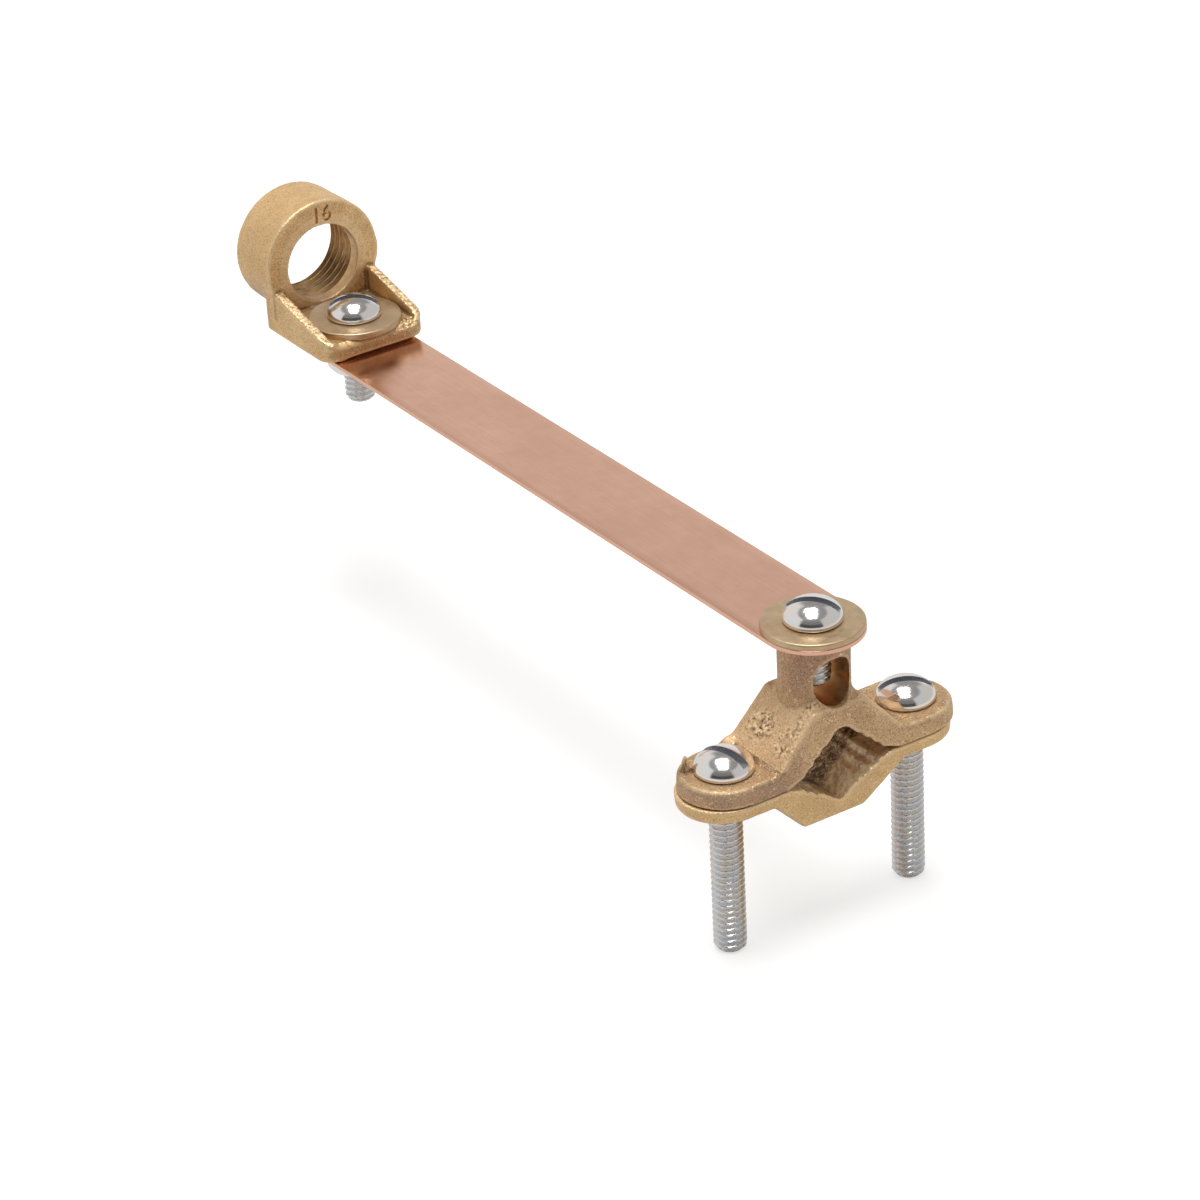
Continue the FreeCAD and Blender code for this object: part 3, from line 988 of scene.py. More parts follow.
@dataclass
class Casting:
    """A sand casting grown from its solid: finely meshed, softened and roughened."""

    node: str
    body: str
    voxel: float = 0.26
    wave: float = 0.07
    grain: float = 0.05
    seed: int = 3
    coarse: bool = False
    crease: float = 42.0
    points: Array = field(default_factory=lambda: np.zeros((0, 3)))
    normals: Array = field(default_factory=lambda: np.zeros((0, 3)))
    scuffed: Array = field(default_factory=lambda: np.zeros(0))

    def fine_mesh(self, node: Piece) -> Piece:
        """Copies a node's mesh, joins its loose triangles and meshes it in even quads.

        Args:
            node: the node's object.

        Returns:
            The new piece.
        """
        mesh = node.data.copy()
        mesh.materials.clear()
        merge_points(mesh, NODE_MERGE)
        piece = link_mesh(self.node + "_cast", mesh)
        modifier = piece.modifiers.new("even", "REMESH")
        modifier.mode = "VOXEL"
        modifier.voxel_size = self.voxel * MM
        bake_modifiers(piece)
        return piece

    def read(self, mesh: Mesh) -> None:
        """Reads the mesh's points and normals into arrays, in millimetres."""
        self.points = np.empty(len(mesh.vertices) * 3)
        mesh.vertices.foreach_get("co", self.points)
        self.points = self.points.reshape(-1, 3) / MM
        self.normals = np.empty(len(mesh.vertices) * 3)
        mesh.vertex_normals.foreach_get("vector", self.normals)
        self.normals = self.normals.reshape(-1, 3)

    def write(self, mesh: Mesh) -> None:
        """Stores the points back in the mesh."""
        mesh.vertices.foreach_set("co", (self.points * MM).astype(np.float32).ravel())
        mesh.update()

    def neighbours(self, mesh: Mesh) -> tuple[Array, Array]:
        """Ends of every edge, both ways round."""
        ends = np.empty(len(mesh.edges) * 2, np.int64)
        mesh.edges.foreach_get("vertices", ends)
        ends = ends.reshape(-1, 2)
        return np.concatenate([ends[:, 0], ends[:, 1]]), np.concatenate([ends[:, 1], ends[:, 0]])

    @staticmethod
    def average(values: Array, start: Array, end: Array) -> Array:
        """Mean of each point's neighbours.

        Args:
            values: one number, or one row of numbers, per point.
            start, end: the edges' ends.

        Returns:
            The means.
        """
        count = np.bincount(start, minlength=len(values)).clip(1)
        if values.ndim == 1:
            return np.bincount(start, weights=values[end], minlength=len(values)) / count
        sums = [np.bincount(start, weights=column[end], minlength=len(values)) for column in values.T]
        return np.stack(sums, axis=-1) / count[:, None]

    def soften(self, mesh: Mesh, passes: int = 3) -> None:
        """Rounds edges and steps.

        Each pass moves a point half way to its neighbours' mean and most of the way back.

        Args:
            mesh: the mesh whose edges are read.
            passes: how often the points are moved.
        """
        start, end = self.neighbours(mesh)
        give = self.give()[:, None]
        for _ in range(passes):
            self.points += 0.5 * give * (self.average(self.points, start, end) - self.points)
            self.points -= 0.4 * give * (self.average(self.points, start, end) - self.points)

    def relief(self, mesh: Mesh) -> Array:
        """Convexity at the scale of a cast edge, -1 in a sharp hollow to 1 on a sharp ridge.

        It is how far a point stands out from its smoothed place along its normal.

        Args:
            mesh: the mesh whose points are read.

        Returns:
            One value per point.
        """
        start, end = self.neighbours(mesh)
        smooth = self.points.copy()
        for _ in range(10):
            smooth += 0.8 * (self.average(smooth, start, end) - smooth)
        out = np.einsum("ij,ij->i", self.points - smooth, self.normals)
        for _ in range(2):
            out += 0.6 * (self.average(out, start, end) - out)
        return np.clip(out / 0.10, -1, 1)

    def noise(self, wavelength: float, seed: int) -> Array:
        """A lattice noise at every point of the casting."""
        return LatticeNoise(wavelength, seed).at(self.points)

    def give(self) -> Array:
        """Share of the softening that each point takes."""
        return np.ones(len(self.points))

    def calm(self) -> Array:
        """Share of the roughness that stays at each point; machined faces give 0."""
        return np.ones(len(self.points))

    def lumps(self) -> Array:
        """Extra height at each point from rough patches and cast-on lumps."""
        return np.zeros(len(self.points))

    def painted_shade_and_brown(self) -> Array:
        """Share of dark brown at each point: painted shade in recesses and on shaded faces, plain darker
        brown elsewhere.
        """
        return np.zeros(len(self.points))

    def rose(self) -> Array:
        """Share of the pinkish brown bloom at each point."""
        return np.zeros(len(self.points))

    def painted_light_and_rub(self) -> Array:
        """Share of the pale spark colour at each point: painted light, and on the hub's rims also metal
        polished by wear.
        """
        return np.zeros(len(self.points))

    def scuff(self) -> Array:
        """Share of the coarse broken skin at each point."""
        return np.zeros(len(self.points))

    def growths(self) -> list[Piece]:
        """Closed shapes that stand on the casting and become part of it."""
        return []

    def machined(self, centres: Array) -> Array:
        """Faces that were cut after casting.

        Args:
            centres: the faces' centres in millimetres.

        Returns:
            True for each cut face.
        """
        return np.zeros(len(centres), bool)

    def cutters(self) -> list[Piece]:
        """Closed shapes cut out of the finished casting."""
        return []

    def store(self, mesh: Mesh, name: str, values: Array) -> None:
        """Keeps one number per point in the mesh under a name."""
        layer = mesh.attributes.new(name, "FLOAT", "POINT")
        layer.data.foreach_set("value", values.astype(np.float32))

    def build(self, node: Piece, finishes: FinishBook) -> Piece:
        """Makes the casting's piece from its node.

        Args:
            node: the node's object.
            finishes: the materials.

        Returns:
            The piece.
        """
        low, high = (np.array(corner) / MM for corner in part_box(self.node))
        piece = self.fine_mesh(node)
        mesh = piece.data
        self.read(mesh)
        self.soften(mesh)
        self.write(mesh)
        self.read(mesh)
        rough = self.wave * self.noise(3.4, self.seed)
        rough += self.grain * self.noise(1.1, self.seed + 1)
        rough = rough * self.calm() + self.lumps()
        self.points += self.normals * rough[:, None]
        self.points = np.clip(self.points, low, high)
        self.write(mesh)
        self.read(mesh)
        self.store(mesh, "relief", self.relief(mesh))
        for field_of in (self.painted_shade_and_brown, self.rose, self.painted_light_and_rub, self.scuff):
            self.store(mesh, field_of.__name__, field_of())
        combine(piece, self.growths(), "UNION")
        combine(piece, self.cutters(), "DIFFERENCE")
        mesh = piece.data
        shade(mesh, self.crease)
        cast = finishes.rough_bronze if self.coarse else finishes.fine_bronze
        finishes.dress(piece, cast, finishes.machined)
        centres = np.empty(len(mesh.polygons) * 3)
        mesh.polygons.foreach_get("center", centres)
        cut = self.machined(centres.reshape(-1, 3) / MM)
        mesh.polygons.foreach_set("material_index", cut.astype(np.int32))
        stand_for(piece, self.node, self.body)
        return piece


@dataclass
class UpperJaw(Casting):
    """Upper pipe jaw with the terminal post."""

    v_half_width: float = 11.1
    v_depth: float = 9.6
    post_radius: float = 6.8
    port_low: float = 12.3
    port_high: float = 22.1
    half_spacing: float = 20.9
    stub_reach: float = 7.15
    stub_angle: float = 145.5
    stub_lean: float = 0.2
    stub_low: float = 2.4
    stub_high: float = 6.44
    upper_patch: Spot = Spot((-10.3, 2.7, 0), (2.3, 4.0, FAR), 2)
    lower_patch: Spot = Spot((-10.7, -4.9, 0), (2.0, 2.8, FAR), 2)
    knob: Spot = Spot((-14.6, 7.6, 3.8), (1.3, 1.4, 1.2))

    def in_v(self) -> Array:
        """1 on the toothed flanks of the pipe space."""
        x, _, z = self.points.T
        line = self.v_depth * (1 - np.abs(x) / self.v_half_width)
        inside = 1 - smooth_step(z - line, 0.5, 0.9)
        sideways = 1 - smooth_step(np.abs(self.normals[:, 1]), 0.5, 0.8)
        return inside * sideways * (self.normals[:, 2] < 0.2) * (np.abs(x) < 12.4)

    def in_port(self) -> Array:
        """1 on the wall of the wire port."""
        x, y, z = self.points.T
        near = (np.abs(x) < 4.3) & (z > self.port_low - 0.4) & (z < self.port_high + 0.4)
        return near & (np.hypot(x, y) < self.post_radius - 0.12)

    def give(self) -> Array:
        """Keeps the ear crisp at the foot of the broken gate stub."""
        x, y, z = self.points.T
        stub = (np.hypot(x + 26.8, y - 4.0) < 2.3) & (z > 3.0)
        return np.where(stub, 0.2, 1.0)

    def calm(self) -> Array:
        """Keeps the roughness off the wire port."""
        return np.where(self.in_port(), 0.0, 1.0) * (1 + 1.4 * self.in_v())

    def lumps(self) -> Array:
        """Rough foundry marks on the left slope, crumbs along the shoulder and by the left head."""
        x, y, z = self.points.T
        crumbs = smooth_step(self.noise(1.05, 21), -0.05, 0.22) * 0.42
        crumbs += self.noise(0.62, 23) * 0.5 - 0.16
        on_slope = smooth_step(self.normals[:, 2], 0.3, 0.55) * (z > 4.5) * (x < -6)
        patches = np.maximum(self.upper_patch.at(self.points), self.lower_patch.at(self.points))
        ragged = smooth_step(self.noise(1.7, 24), -0.28, 0.02)
        self.scuffed = on_slope * patches * ragged
        height = self.scuffed * (0.12 + 0.45 * self.noise(0.85, 23))
        along = np.clip((-5.5 - x) / 4.5, 0, 1)
        beside, above = (y + 5.4 + 0.8 * along) / 1.1, (z - 13.0 + 4.2 * along) / 1.3
        ridge = np.exp(-(beside**2 + above**2)) * (x < -3.5)
        height += ridge * np.maximum(crumbs + 0.1, 0) * 0.8
        self.scuffed = np.maximum(self.scuffed, 0.7 * ridge)
        return height + 0.85 * self.knob.at(self.points)

    def painted_shade_and_brown(self) -> Array:
        """Painted shade: dark mottled pipe space, darker on the left flank. Also darker brown on the ears'
        upward faces, more on the left ear's sloping faces.
        """
        x, _, z = self.points.T
        left_flank = 1.15 * (1 - smooth_step(x, -0.5, 3.5))
        mottle = 1.2 * self.noise(1.1, 31) - 0.1 + left_flank
        upward = self.normals[:, 2]
        ear = (np.abs(x) > 12.5) * (z < 3.9) * smooth_step(upward, 0.1, 0.3)
        left_rim = 0.26 * (1 - smooth_step(upward, 0.75, 0.95)) * (x < 0)
        ear_brown = 0.34 + left_rim + 0.3 * self.noise(1.6, 35)
        return np.clip(np.maximum(self.in_v() * mottle, ear * ear_brown), 0, 0.97)

    def painted_light_and_rub(self) -> Array:
        """Painted light: paler on the upward-facing left slope, palest high up near the post."""
        x, _, z = self.points.T
        slope = smooth_step(self.normals[:, 2], 0.3, 0.55) * (x < -4.0) * smooth_step(z, 3.8, 5.0)
        return slope * (0.12 + 0.2 * smooth_step(z, 7.0, 12.0))

    def scuff(self) -> Array:
        """Broken skin on the marks of the slope and along the shoulder."""
        return np.clip(self.scuffed, 0, 1)

    def growths(self) -> list[Piece]:
        """The broken gate stub on the left ear.

        A cone whose radius falls as (1 - t)^0.8 up its height and is waved by sines, flattened
        across the line to the screw and leaning a little towards it.

        Returns:
            The stub.
        """
        t = np.linspace(0, 1, 18)[:, None]
        angle = circle_angles(30)
        radius = 0.16 + 1.28 * (1 - t) ** 0.8
        coarse = 0.16 * np.sin(3 * angle + 2.6 * t) * np.sin(7 * t + angle)
        wave = 1 + coarse + 0.07 * np.sin(8 * angle + 9 * t)
        ring = turned(radius * wave, self.stub_low + (self.stub_high - self.stub_low) * t, angle)
        ring[..., 0] *= 0.86
        outwards = math.radians(self.stub_angle)
        reach = self.stub_reach - self.stub_lean * t
        shifted = Surface(ring.reshape(-1, 3), np.zeros((0, 4), int)).placed(0, 0, 0, self.stub_angle)
        ring = shifted.points.reshape(ring.shape)
        ring[..., 0] += reach * math.cos(outwards) - self.half_spacing
        ring[..., 1] += reach * math.sin(outwards)
        poles = [np.repeat(ring[end].mean(axis=0)[None, None], len(angle), axis=1) for end in (0, -1)]
        stub = grid_surface(np.concatenate([poles[0], ring, poles[1]])).to_object("gate_stub")
        self.store(stub.data, "painted_shade_and_brown", np.full(len(stub.data.vertices), 0.7))
        return [stub]

    def rose(self) -> Array:
        """Pinkish bloom on the post and along the left ear's wall."""
        x, y, z = self.points.T
        drift = 0.6 + 0.8 * self.noise(6.0, 32)
        post = smooth_step(z, 13.0, 15.5) * (np.hypot(x, y) < self.post_radius + 1)
        wall = smooth_step(-self.normals[:, 2], -0.5, -0.1) * smooth_step(-x, 6.0, 14.0)
        return np.clip(np.maximum(post, wall) * drift, 0, 0.85)

    def machined(self, centres: Array) -> Array:
        """Faces of the wire port."""
        x, y, z = centres.T
        near = (np.abs(x) < 4.25) & (z > self.port_low - 0.3) & (z < self.port_high + 0.3)
        return near & (np.hypot(x, y) < self.post_radius - 0.2)


@dataclass
class LowerJaw(Casting):
    """Lower pipe jaw, tapped for the clamp screws."""

    v_half_width: float = 11.1
    v_depth: float = 6.5
    shift: float = -0.6

    def in_v(self) -> Array:
        """1 on the toothed flanks of the pipe space."""
        x, _, z = self.points.T
        line = -0.3 - self.v_depth * (1 - np.abs(x - self.shift) / self.v_half_width)
        inside = smooth_step(z - line, -0.9, -0.5)
        upward = smooth_step(self.normals[:, 2], 0.25, 0.5)
        return inside * upward * (np.abs(x - self.shift) < 11.4)

    def calm(self) -> Array:
        """Rougher in the pipe space."""
        return 1 + 1.2 * self.in_v()

    def painted_shade_and_brown(self) -> Array:
        """Painted shade: mottled pipe space, darker towards the back."""
        mottle = 0.90 * self.depth() + 0.6 * self.noise(1.1, 41)
        return np.clip(self.in_v() * mottle, 0, 0.97)

    def depth(self) -> Array:
        """0 in front and 1 towards the back of the pipe space."""
        return smooth_step(self.points[:, 1] - 0.25 * self.points[:, 0], -3.4, -1.0)

    def painted_light_and_rub(self) -> Array:
        """Painted light: the front of the right flank of the pipe space is made paler."""
        mottle = 0.85 + 1.2 * self.noise(0.9, 42)
        right = smooth_step(self.points[:, 0], -1.5, 3.0)
        return np.clip(self.in_v() * (1 - self.depth()) * right * mottle, 0, 0.9)

    def scuff(self) -> Array:
        """Coarse grain on the toothed flanks."""
        return 0.3 * self.in_v()


@dataclass
class ConduitHub(Casting):
    """Foot, gussets and collar, with the pipe thread cut in the collar."""

    axis_z: float = 39.89
    collar_front: float = 170.8
    collar_back: float = 184.5
    thread_pitch: float = 1.814
    crest_radius: float = 9.34
    root_radius: float = 10.42
    size_mark: str = "16"
    mark_z: float = 48.6
    mark_size: float = 4.9
    mark_depth: float = 0.5
    mark_x: float = 0.45
    corner_knob: Spot = Spot((-10.4, 151.9, 29.8), (1.1, 1.1, 1.1))
    lip_bulge: Spot = Spot((0, 0, 38.89), (FAR, FAR, 2.6), 2)
    lip_row: Spot = Spot((0, 172.6, 0), (FAR, 1.3, FAR))
    scab_lump: Spot = Spot((8.4, 0, 0), (2.2, FAR, FAR), 2)
    scab_skin: Spot = Spot((8.4, 0, 0), (2.6, FAR, FAR), 2)

    def bore_distance(self) -> Array:
        """Distance of each point from the collar's axis."""
        return np.hypot(self.points[:, 0], self.points[:, 2] - self.axis_z)

    def calm(self) -> Array:
        """Keeps the roughness off the bore and the throat."""
        inner = (self.bore_distance() < 10.0) & (self.points[:, 1] > self.collar_front + 0.25)
        return np.where(inner, 0.0, 1.0)

    def lumps(self) -> Array:
        """Crumbs on the rims and the collar's edge, the corner knob, the side lip and the lifted foot."""
        x, y, z = self.points.T
        clots = self.noise(0.62, 51) * 0.34 + self.noise(1.3, 53) * 0.16
        reach = self.bore_distance()
        from_edge = ((reach - 13.2) / 0.6) ** 2 + ((y - self.collar_front) / 0.6) ** 2
        edge = np.exp(-from_edge) * (z > 44.0) * 0.4
        foot = (y < 152.8) * smooth_step(z, 28.6, 30.0) * 0.5
        scab = 1.3 * (y < 153.6) * smooth_step(z, 28.2, 29.4) * self.scab_lump.at(self.points)
        height = clots * np.maximum(np.maximum(0.7 * self.on_rims(), edge), np.maximum(foot, scab))
        height += 0.75 * self.corner_knob.at(self.points)
        lip = self.lip_bulge.at(self.points) * (x > 12.0) * self.lip_row.at(self.points)
        under = smooth_step(-self.normals[:, 2], 0.3, 0.7) * (z < 27.5)
        lifted = (1 - smooth_step(y, 151.2, 153.4)) * smooth_step(x, -9.0, -2.0) * under
        return height + 0.5 * lip - 0.8 * lifted

    def on_rims(self) -> Array:
        """1 on the upper edges of the gussets."""
        x, y, z = self.points.T
        rim = 31.7 + (y - 153.9) * (4.0 / 16.9)
        upward = smooth_step(self.normals[:, 2], 0.35, 0.6)
        return (np.abs(x) > 9.9) * upward * smooth_step(z - rim, -1.6, -0.4) * (y < self.collar_front - 0.6)

    def painted_shade_and_brown(self) -> Array:
        """Painted shade: brown in the tray, low on the collar's face by the tray, and on the foot's front.
        """
        x, y, z = self.points.T
        drift = 0.8 + 0.5 * self.noise(2.4, 54)
        upward = self.normals[:, 2]
        tray = (np.abs(x) < 10.6) * (z > 29.9) * (y > 152.0) * (y < 170.6) * smooth_step(upward, 0.5, 0.8)
        face = (1 - smooth_step(z, 33.0, 37.0)) * (z > 30.0) * (np.abs(y - self.collar_front) < 0.5)
        front = (1 - smooth_step(y, 151.3, 152.5)) * (1 - smooth_step(upward, 0.4, 0.8))
        shares = np.maximum(np.maximum(0.35 * tray, 0.42 * face), 0.42 * front)
        return np.clip(drift * shares * (1 - self.on_rims()), 0, 0.8)

    def painted_light_and_rub(self) -> Array:
        """Paler along the gussets' upward rims and on the throat's lip: metal polished by wear, and a
        painted highlight.
        """
        mottle = 0.3 + 0.8 * self.noise(0.8, 55)
        lip = 0.3 * (self.bore_distance() < 10.3) * (self.points[:, 1] < self.collar_front + 3.0)
        return np.clip(np.maximum(self.on_rims() * mottle, lip), 0, 0.8)

    def scuff(self) -> Array:
        """Broken skin on the gussets' rims and on the foot's front corner."""
        _, y, z = self.points.T
        scab = (y < 153.6) * smooth_step(z, 28.2, 29.4) * self.scab_skin.at(self.points)
        return np.clip(np.maximum(0.6 * self.on_rims(), 0.8 * scab), 0, 1)

    def rose(self) -> Array:
        """Pinkish bloom on the collar's lower side."""
        _, y, z = self.points.T
        drift = 0.45 + 1.0 * self.noise(6.5, 52)
        side = smooth_step(y, 172.0, 175.0) * (1 - smooth_step(z, 32.0, 40.0))
        return np.clip(side * drift, 0, 0.7)

    def machined(self, centres: Array) -> Array:
        """Faces of the bore behind the throat's mouth."""
        x, y, z = centres.T
        inside = (y > self.collar_front + 0.4) & (y < self.collar_back - 0.01)
        return inside & (np.hypot(x, z - self.axis_z) < 11.0)

    def thread_tap(self) -> Surface:
        """Tap that cuts the thread.

        The radius at angle a and depth t is the crest radius plus the groove at phase
        t / pitch - a / turn, and it flares as a 45 degree cone at the mouth.

        Returns:
            The closed surface.
        """
        angle = circle_angles(160)
        start = self.collar_front + 3.4
        depth = np.linspace(start, self.collar_back + 1.0, 110)[:, None]
        phase = (depth - start) / self.thread_pitch - angle[None, :] / (2 * math.pi)
        q = np.abs((phase % 1.0) - 0.5) * 2
        groove = np.clip((0.88 - q) / 0.78, 0, 1)
        radius = self.crest_radius + (self.root_radius - self.crest_radius) * groove
        flare = self.root_radius + 0.1 + (depth - self.collar_back)
        radius = np.maximum(radius, flare)
        body = turned(radius, depth, angle)
        first = turned(np.array([[0.0]]), depth[:1], angle)
        last = turned(np.array([[0.0]]), depth[-1:], angle)
        points = np.concatenate([first, body, last])
        laid = np.stack([points[..., 0], points[..., 2], -points[..., 1]], axis=-1)
        laid[..., 2] += self.axis_z
        return grid_surface(laid)

    def number_punch(self) -> Piece:
        """Plain figures that are cut into the collar's face above the throat.

        Returns:
            The closed figures, reaching from in front of the face to behind it.
        """
        text = bpy.data.curves.new("number_punch", "FONT")
        text.body = self.size_mark
        text.align_x = "CENTER"
        text.size = self.mark_size * MM
        text.extrude = self.mark_depth * MM
        text.offset = 0.07 * MM
        text.resolution_u = 6
        writer = bpy.data.objects.new("number_punch", text)
        bpy.context.scene.collection.objects.link(writer)
        graph = bpy.context.evaluated_depsgraph_get()
        mesh = bpy.data.meshes.new_from_object(writer.evaluated_get(graph))
        bpy.data.objects.remove(writer)
        merge_points(mesh, TEXT_MERGE)
        place = Vector((self.mark_x, self.collar_front, self.mark_z)) * MM
        mesh.transform(Matrix.Translation(place) @ Matrix.Rotation(math.pi / 2, 4, "X"))
        return link_mesh("number_punch", mesh)

    def cutters(self) -> list[Piece]:
        """The tap and the number punch."""
        return [self.thread_tap().to_object("thread_tap"), self.number_punch()]


# Studio


@dataclass(frozen=True)
class Panel:
    """A stretch of the surroundings that has its own level up to a height.

    Heights are sines of the angle above the horizon.
    """

    level: float
    azimuth_deg: float
    half_deg: float
    fade: tuple[float, float]
    edge_deg: float = 6.0


@dataclass
class Studio:
    """Camera, softbox, white sweep and floor."""

    focal_px: float = 4456.347
    eye: Triple = (-0.416286, -0.576288, 0.418588)
    right: Triple = (0.8262, -0.5615, -0.0469)
    up: Triple = (0.3023, 0.3715, 0.8779)
    ahead: Triple = (0.4755, 0.7394, -0.4766)
    softbox_place: Triple = (-0.10, 0.04, 2.03)
    softbox_size: tuple[float, float] = (0.85, 1.6)
    softbox_turn_deg: float = -32.5
    softbox_power: float = 37.0
    ring_level: float = 0.32
    ring_fade: tuple[float, float] = (0.44, 0.66)
    horizon_fade: tuple[float, float] = (0.0, 0.04)
    panels: tuple[Panel, ...] = (
        Panel(0.06, -130.0, 46.0, (0.35, 0.90)),
        Panel(0.95, 130.0, 53.0, (0.76, 0.85)),
        Panel(0.72, -35.0, 53.0, (0.76, 0.85)),
    )
    floor_reach: float = 3000.0
    floor_colour: tuple[float, float, float, float] = (0.50, 0.495, 0.485, 1)
    floor_glow: tuple[float, float] = (0.22, 0.62)

    def add_camera(self) -> None:
        """Stands the camera where the photograph's was."""
        camera = bpy.data.cameras.new("camera")
        camera.sensor_fit = "HORIZONTAL"
        camera.sensor_width = 36.0
        camera.lens = self.focal_px / PHOTO_WIDTH_PX * camera.sensor_width
        camera.clip_start = 0.05
        camera.clip_end = 20.0
        stand = bpy.data.objects.new("camera", camera)
        bpy.context.scene.collection.objects.link(stand)
        axes = Matrix((self.right, self.up, tuple(-part for part in self.ahead))).transposed()
        stand.matrix_world = Matrix.Translation(self.eye) @ axes.to_4x4()
        bpy.context.scene.camera = stand

    def add_softbox(self) -> None:
        """Hangs a flat lamp over the object, facing straight down."""
        lamp = bpy.data.lights.new("softbox", "AREA")
        lamp.shape = "RECTANGLE"
        lamp.size, lamp.size_y = self.softbox_size
        lamp.energy = self.softbox_power
        stand = bpy.data.objects.new("softbox", lamp)
        bpy.context.scene.collection.objects.link(stand)
        stand.location = self.softbox_place
        stand.rotation_euler = (0.0, 0.0, math.radians(self.softbox_turn_deg))

    def share_of(self, panel: Panel, board: NodeBoard, level_way: Socket, height: Socket) -> Socket:
        """Share of a panel in each direction.

        It is 1 within the panel's half angle of its azimuth, fades over its edge, and fades out
        between its two heights.

        Args:
            panel: the panel.
            board: the world's nodes.
            level_way: the level part of the direction, of length 1.
            height: the sine of the angle above the horizon.

        Returns:
            The share, 0 to 1.
        """
        azimuth = math.radians(panel.azimuth_deg)
        middle = (math.cos(azimuth), math.sin(azimuth), 0.0)
        dot = board.add("VectorMath", {0: level_way, 1: middle}, operation="DOT_PRODUCT").outputs["Value"]
        outer = math.cos(math.radians(panel.half_deg + panel.edge_deg))
        inner = math.cos(math.radians(panel.half_deg - panel.edge_deg))
        across = board.fit(dot, outer, inner)
        return board.arithmetic("MULTIPLY", across, board.fit(height, *panel.fade, 1.0, 0.0))

    def add_world(self) -> None:
        """Surrounds the object with a pale horizon, grey above it, and the panels.

        The level is 1 up to about 26 degrees above the horizon and turns grey by about 41. Each
        panel then takes its own level, the dark camera side first, and below the horizon it is 1.
        """
        world = bpy.data.worlds.new("sweep")
        bpy.context.scene.world = world
        world.use_nodes = True
        world.node_tree.nodes.clear()
        board = NodeBoard(world.node_tree)
        direction = board.add("TexCoord", {}).outputs["Generated"]
        height = board.add("SeparateXYZ", {0: direction}).outputs["Z"]
        flat = board.add("VectorMath", {0: direction, 1: (1.0, 1.0, 0.0)}, operation="MULTIPLY")
        level_part = board.add("VectorMath", {0: flat.outputs["Vector"]}, operation="NORMALIZE")
        level_way = level_part.outputs["Vector"]
        level = board.fit(height, *self.ring_fade, 1.0, self.ring_level)
        for panel in self.panels:
            share = self.share_of(panel, board, level_way, height)
            level = board.add("Mix", {"Factor": share, "A": level, "B": panel.level}).outputs["Result"]
        under = board.fit(height, *self.horizon_fade, 1.0, 0.0)
        level = board.add("Mix", {"Factor": under, "A": level, "B": 1.0}).outputs["Result"]
        background = board.add("Background", {"Strength": level}).outputs[0]
        board.add("OutputWorld", {"Surface": background})

    def add_floor(self, level: float) -> None:
        """Lays the white floor under the lowest point.

        Its shader adds a little light of its own for camera, glossy and transmission rays, so that
        it is white where it is lit and keeps a pale shadow.

        Args:
            level: the floor's height in metres.
        """
        ends = (-self.floor_reach, self.floor_reach)
        points = np.array([[[x, y, 0] for x in ends] for y in ends])
        floor = grid_surface(points, around=False).placed(0, 0, level / MM).to_object("floor")
        material = bpy.data.materials.new("pale_floor")
        material.use_nodes = True
        material.node_tree.nodes.clear()
        board = NodeBoard(material.node_tree)
        path = board.add("LightPath", {}).outputs
        seen = board.arithmetic("MAXIMUM", path["Is Camera Ray"], path["Is Glossy Ray"])
        also = board.arithmetic("MAXIMUM", seen, path["Is Transmission Ray"])
        low, high = self.floor_glow
        inputs = {"To Min": low, "To Max": high, "Value": path["Is Camera Ray"]}
        share = board.add("MapRange", inputs).outputs[0]
        strength = board.arithmetic("MULTIPLY", also, share)
        glow = board.add("Emission", {"Strength": strength}).outputs[0]
        paint = board.add("BsdfDiffuse", {"Color": self.floor_colour}).outputs[0]
        total = board.add("AddShader", {0: glow, 1: paint}).outputs[0]
        board.add("OutputMaterial", {"Surface": total})
        floor.data.materials.append(material)
        floor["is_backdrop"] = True

    def build(self, floor_level: float) -> None:
        """Sets the whole studio.

        Args:
            floor_level: the floor's height in metres.
        """
        bpy.context.scene.view_settings.view_transform = "Standard"
        self.add_camera()
        self.add_softbox()
        self.add_world()
        self.add_floor(floor_level)


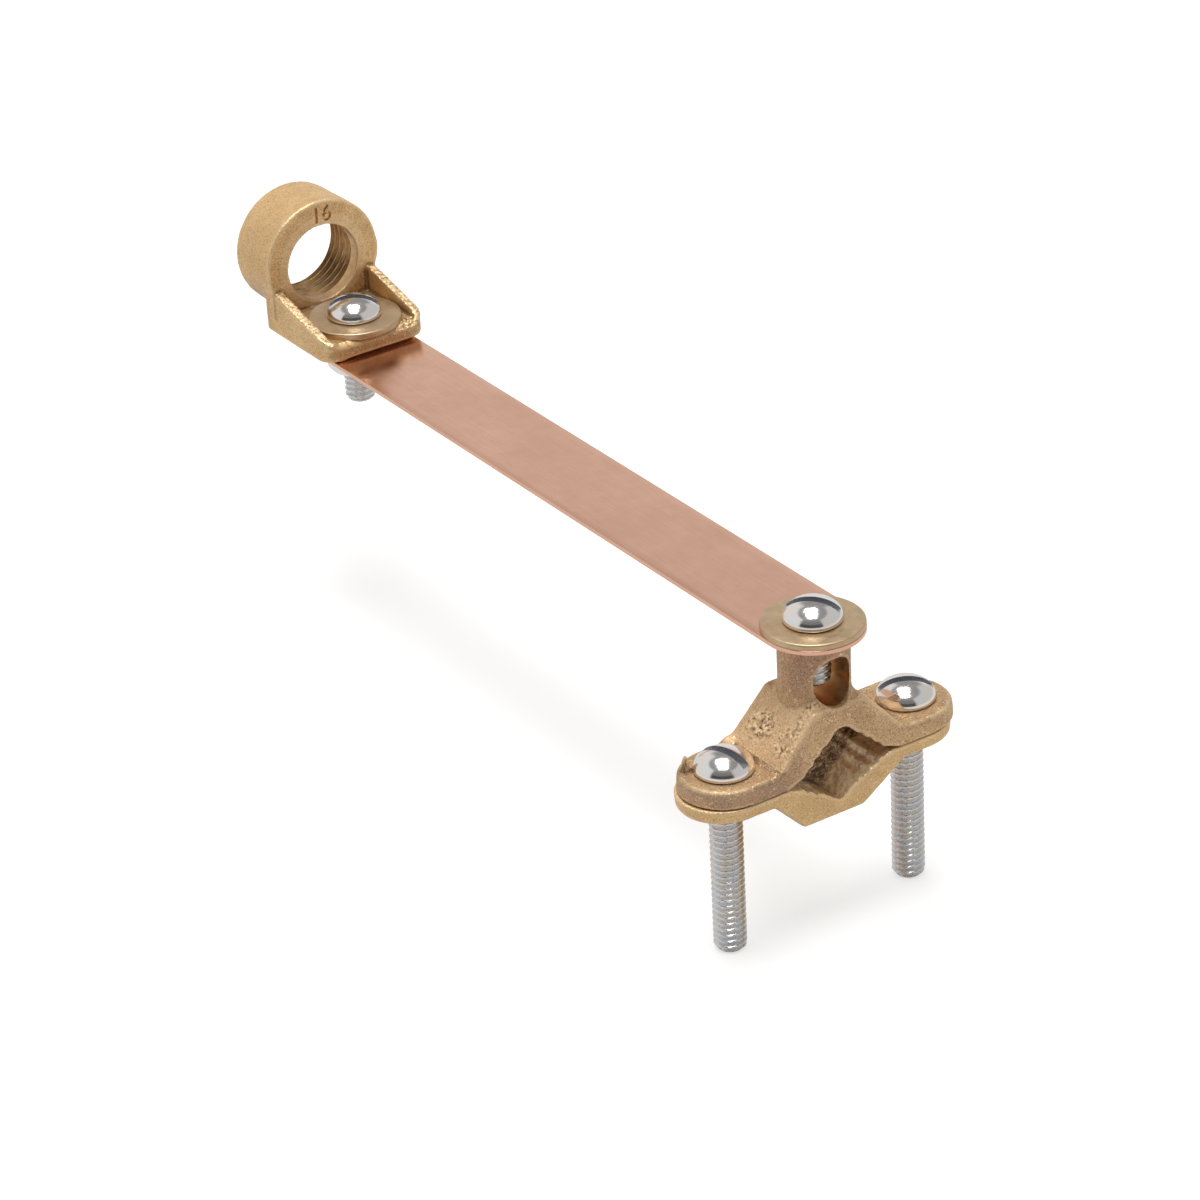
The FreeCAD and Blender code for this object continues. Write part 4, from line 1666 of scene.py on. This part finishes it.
@dataclass
class PipeClamp:
    """The whole clamp: jaws, strap, hub and their fastenings."""

    half_spacing: float = 20.9
    hub_y: float = 159.5
    ear_top: float = 3.4
    post_top: float = 25.24
    strap_top: float = 26.14
    terminal_seat: float = 27.44
    foot_top: float = 30.14
    hub_seat: float = 31.54
    terminal_washer_thickness: float = 1.3
    hub_washer_thickness: float = 1.4
    clamp_screw_length: float = 38.1
    terminal_screw_length: float = 12.7
    hub_screw_length: float = 19.05

    def build(self, nodes: dict[str, Piece], finishes: FinishBook) -> None:
        """Builds every piece in order.

        Args:
            nodes: the objects of the solids by name.
            finishes: the materials.
        """
        UpperJaw("upper_jaw", "jaw_base", seed=3, coarse=True).build(nodes["upper_jaw"], finishes)
        LowerJaw("lower_jaw", "lower_jaw", seed=7).build(nodes["lower_jaw"], finishes)
        ConduitHub("hub", "hub", seed=11).build(nodes["hub"], finishes)
        CopperStrap(self.hub_y).build(finishes)
        FlatWasher("terminal_washer", 0, self.strap_top, self.terminal_washer_thickness).build(finishes)
        FlatWasher("hub_washer", self.hub_y, self.foot_top, self.hub_washer_thickness).build(finishes)
        out, long = self.half_spacing, self.clamp_screw_length
        SlottedScrew("clamp_screw_left", -out, 0, self.ear_top, long, slot_turn=109).build(finishes)
        SlottedScrew("clamp_screw_right", out, 0, self.ear_top, long, slot_turn=-30).build(finishes)
        short, middle = self.terminal_screw_length, self.hub_screw_length
        SlottedScrew("terminal_screw", 0, 0, self.terminal_seat, short, slot_turn=-47).build(finishes)
        SlottedScrew("hub_screw", 0, self.hub_y, self.hub_seat, middle, slot_turn=-32).build(finishes)
        HexNut(self.hub_y, self.post_top).build(finishes)


def main() -> None:
    """Loads the frame, builds the clamp, and sets up its studio with the floor just under the solids' lowest
    point.
    """
    logging.basicConfig(level=logging.INFO, format="%(name)s: %(message)s")
    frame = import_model()
    solids = [list(corner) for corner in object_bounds()]
    PipeClamp().build(frame["nodes"], FinishBook())
    Studio().build(solids[0][2] - FLOOR_GAP)


if __name__ == "__main__":
    main()
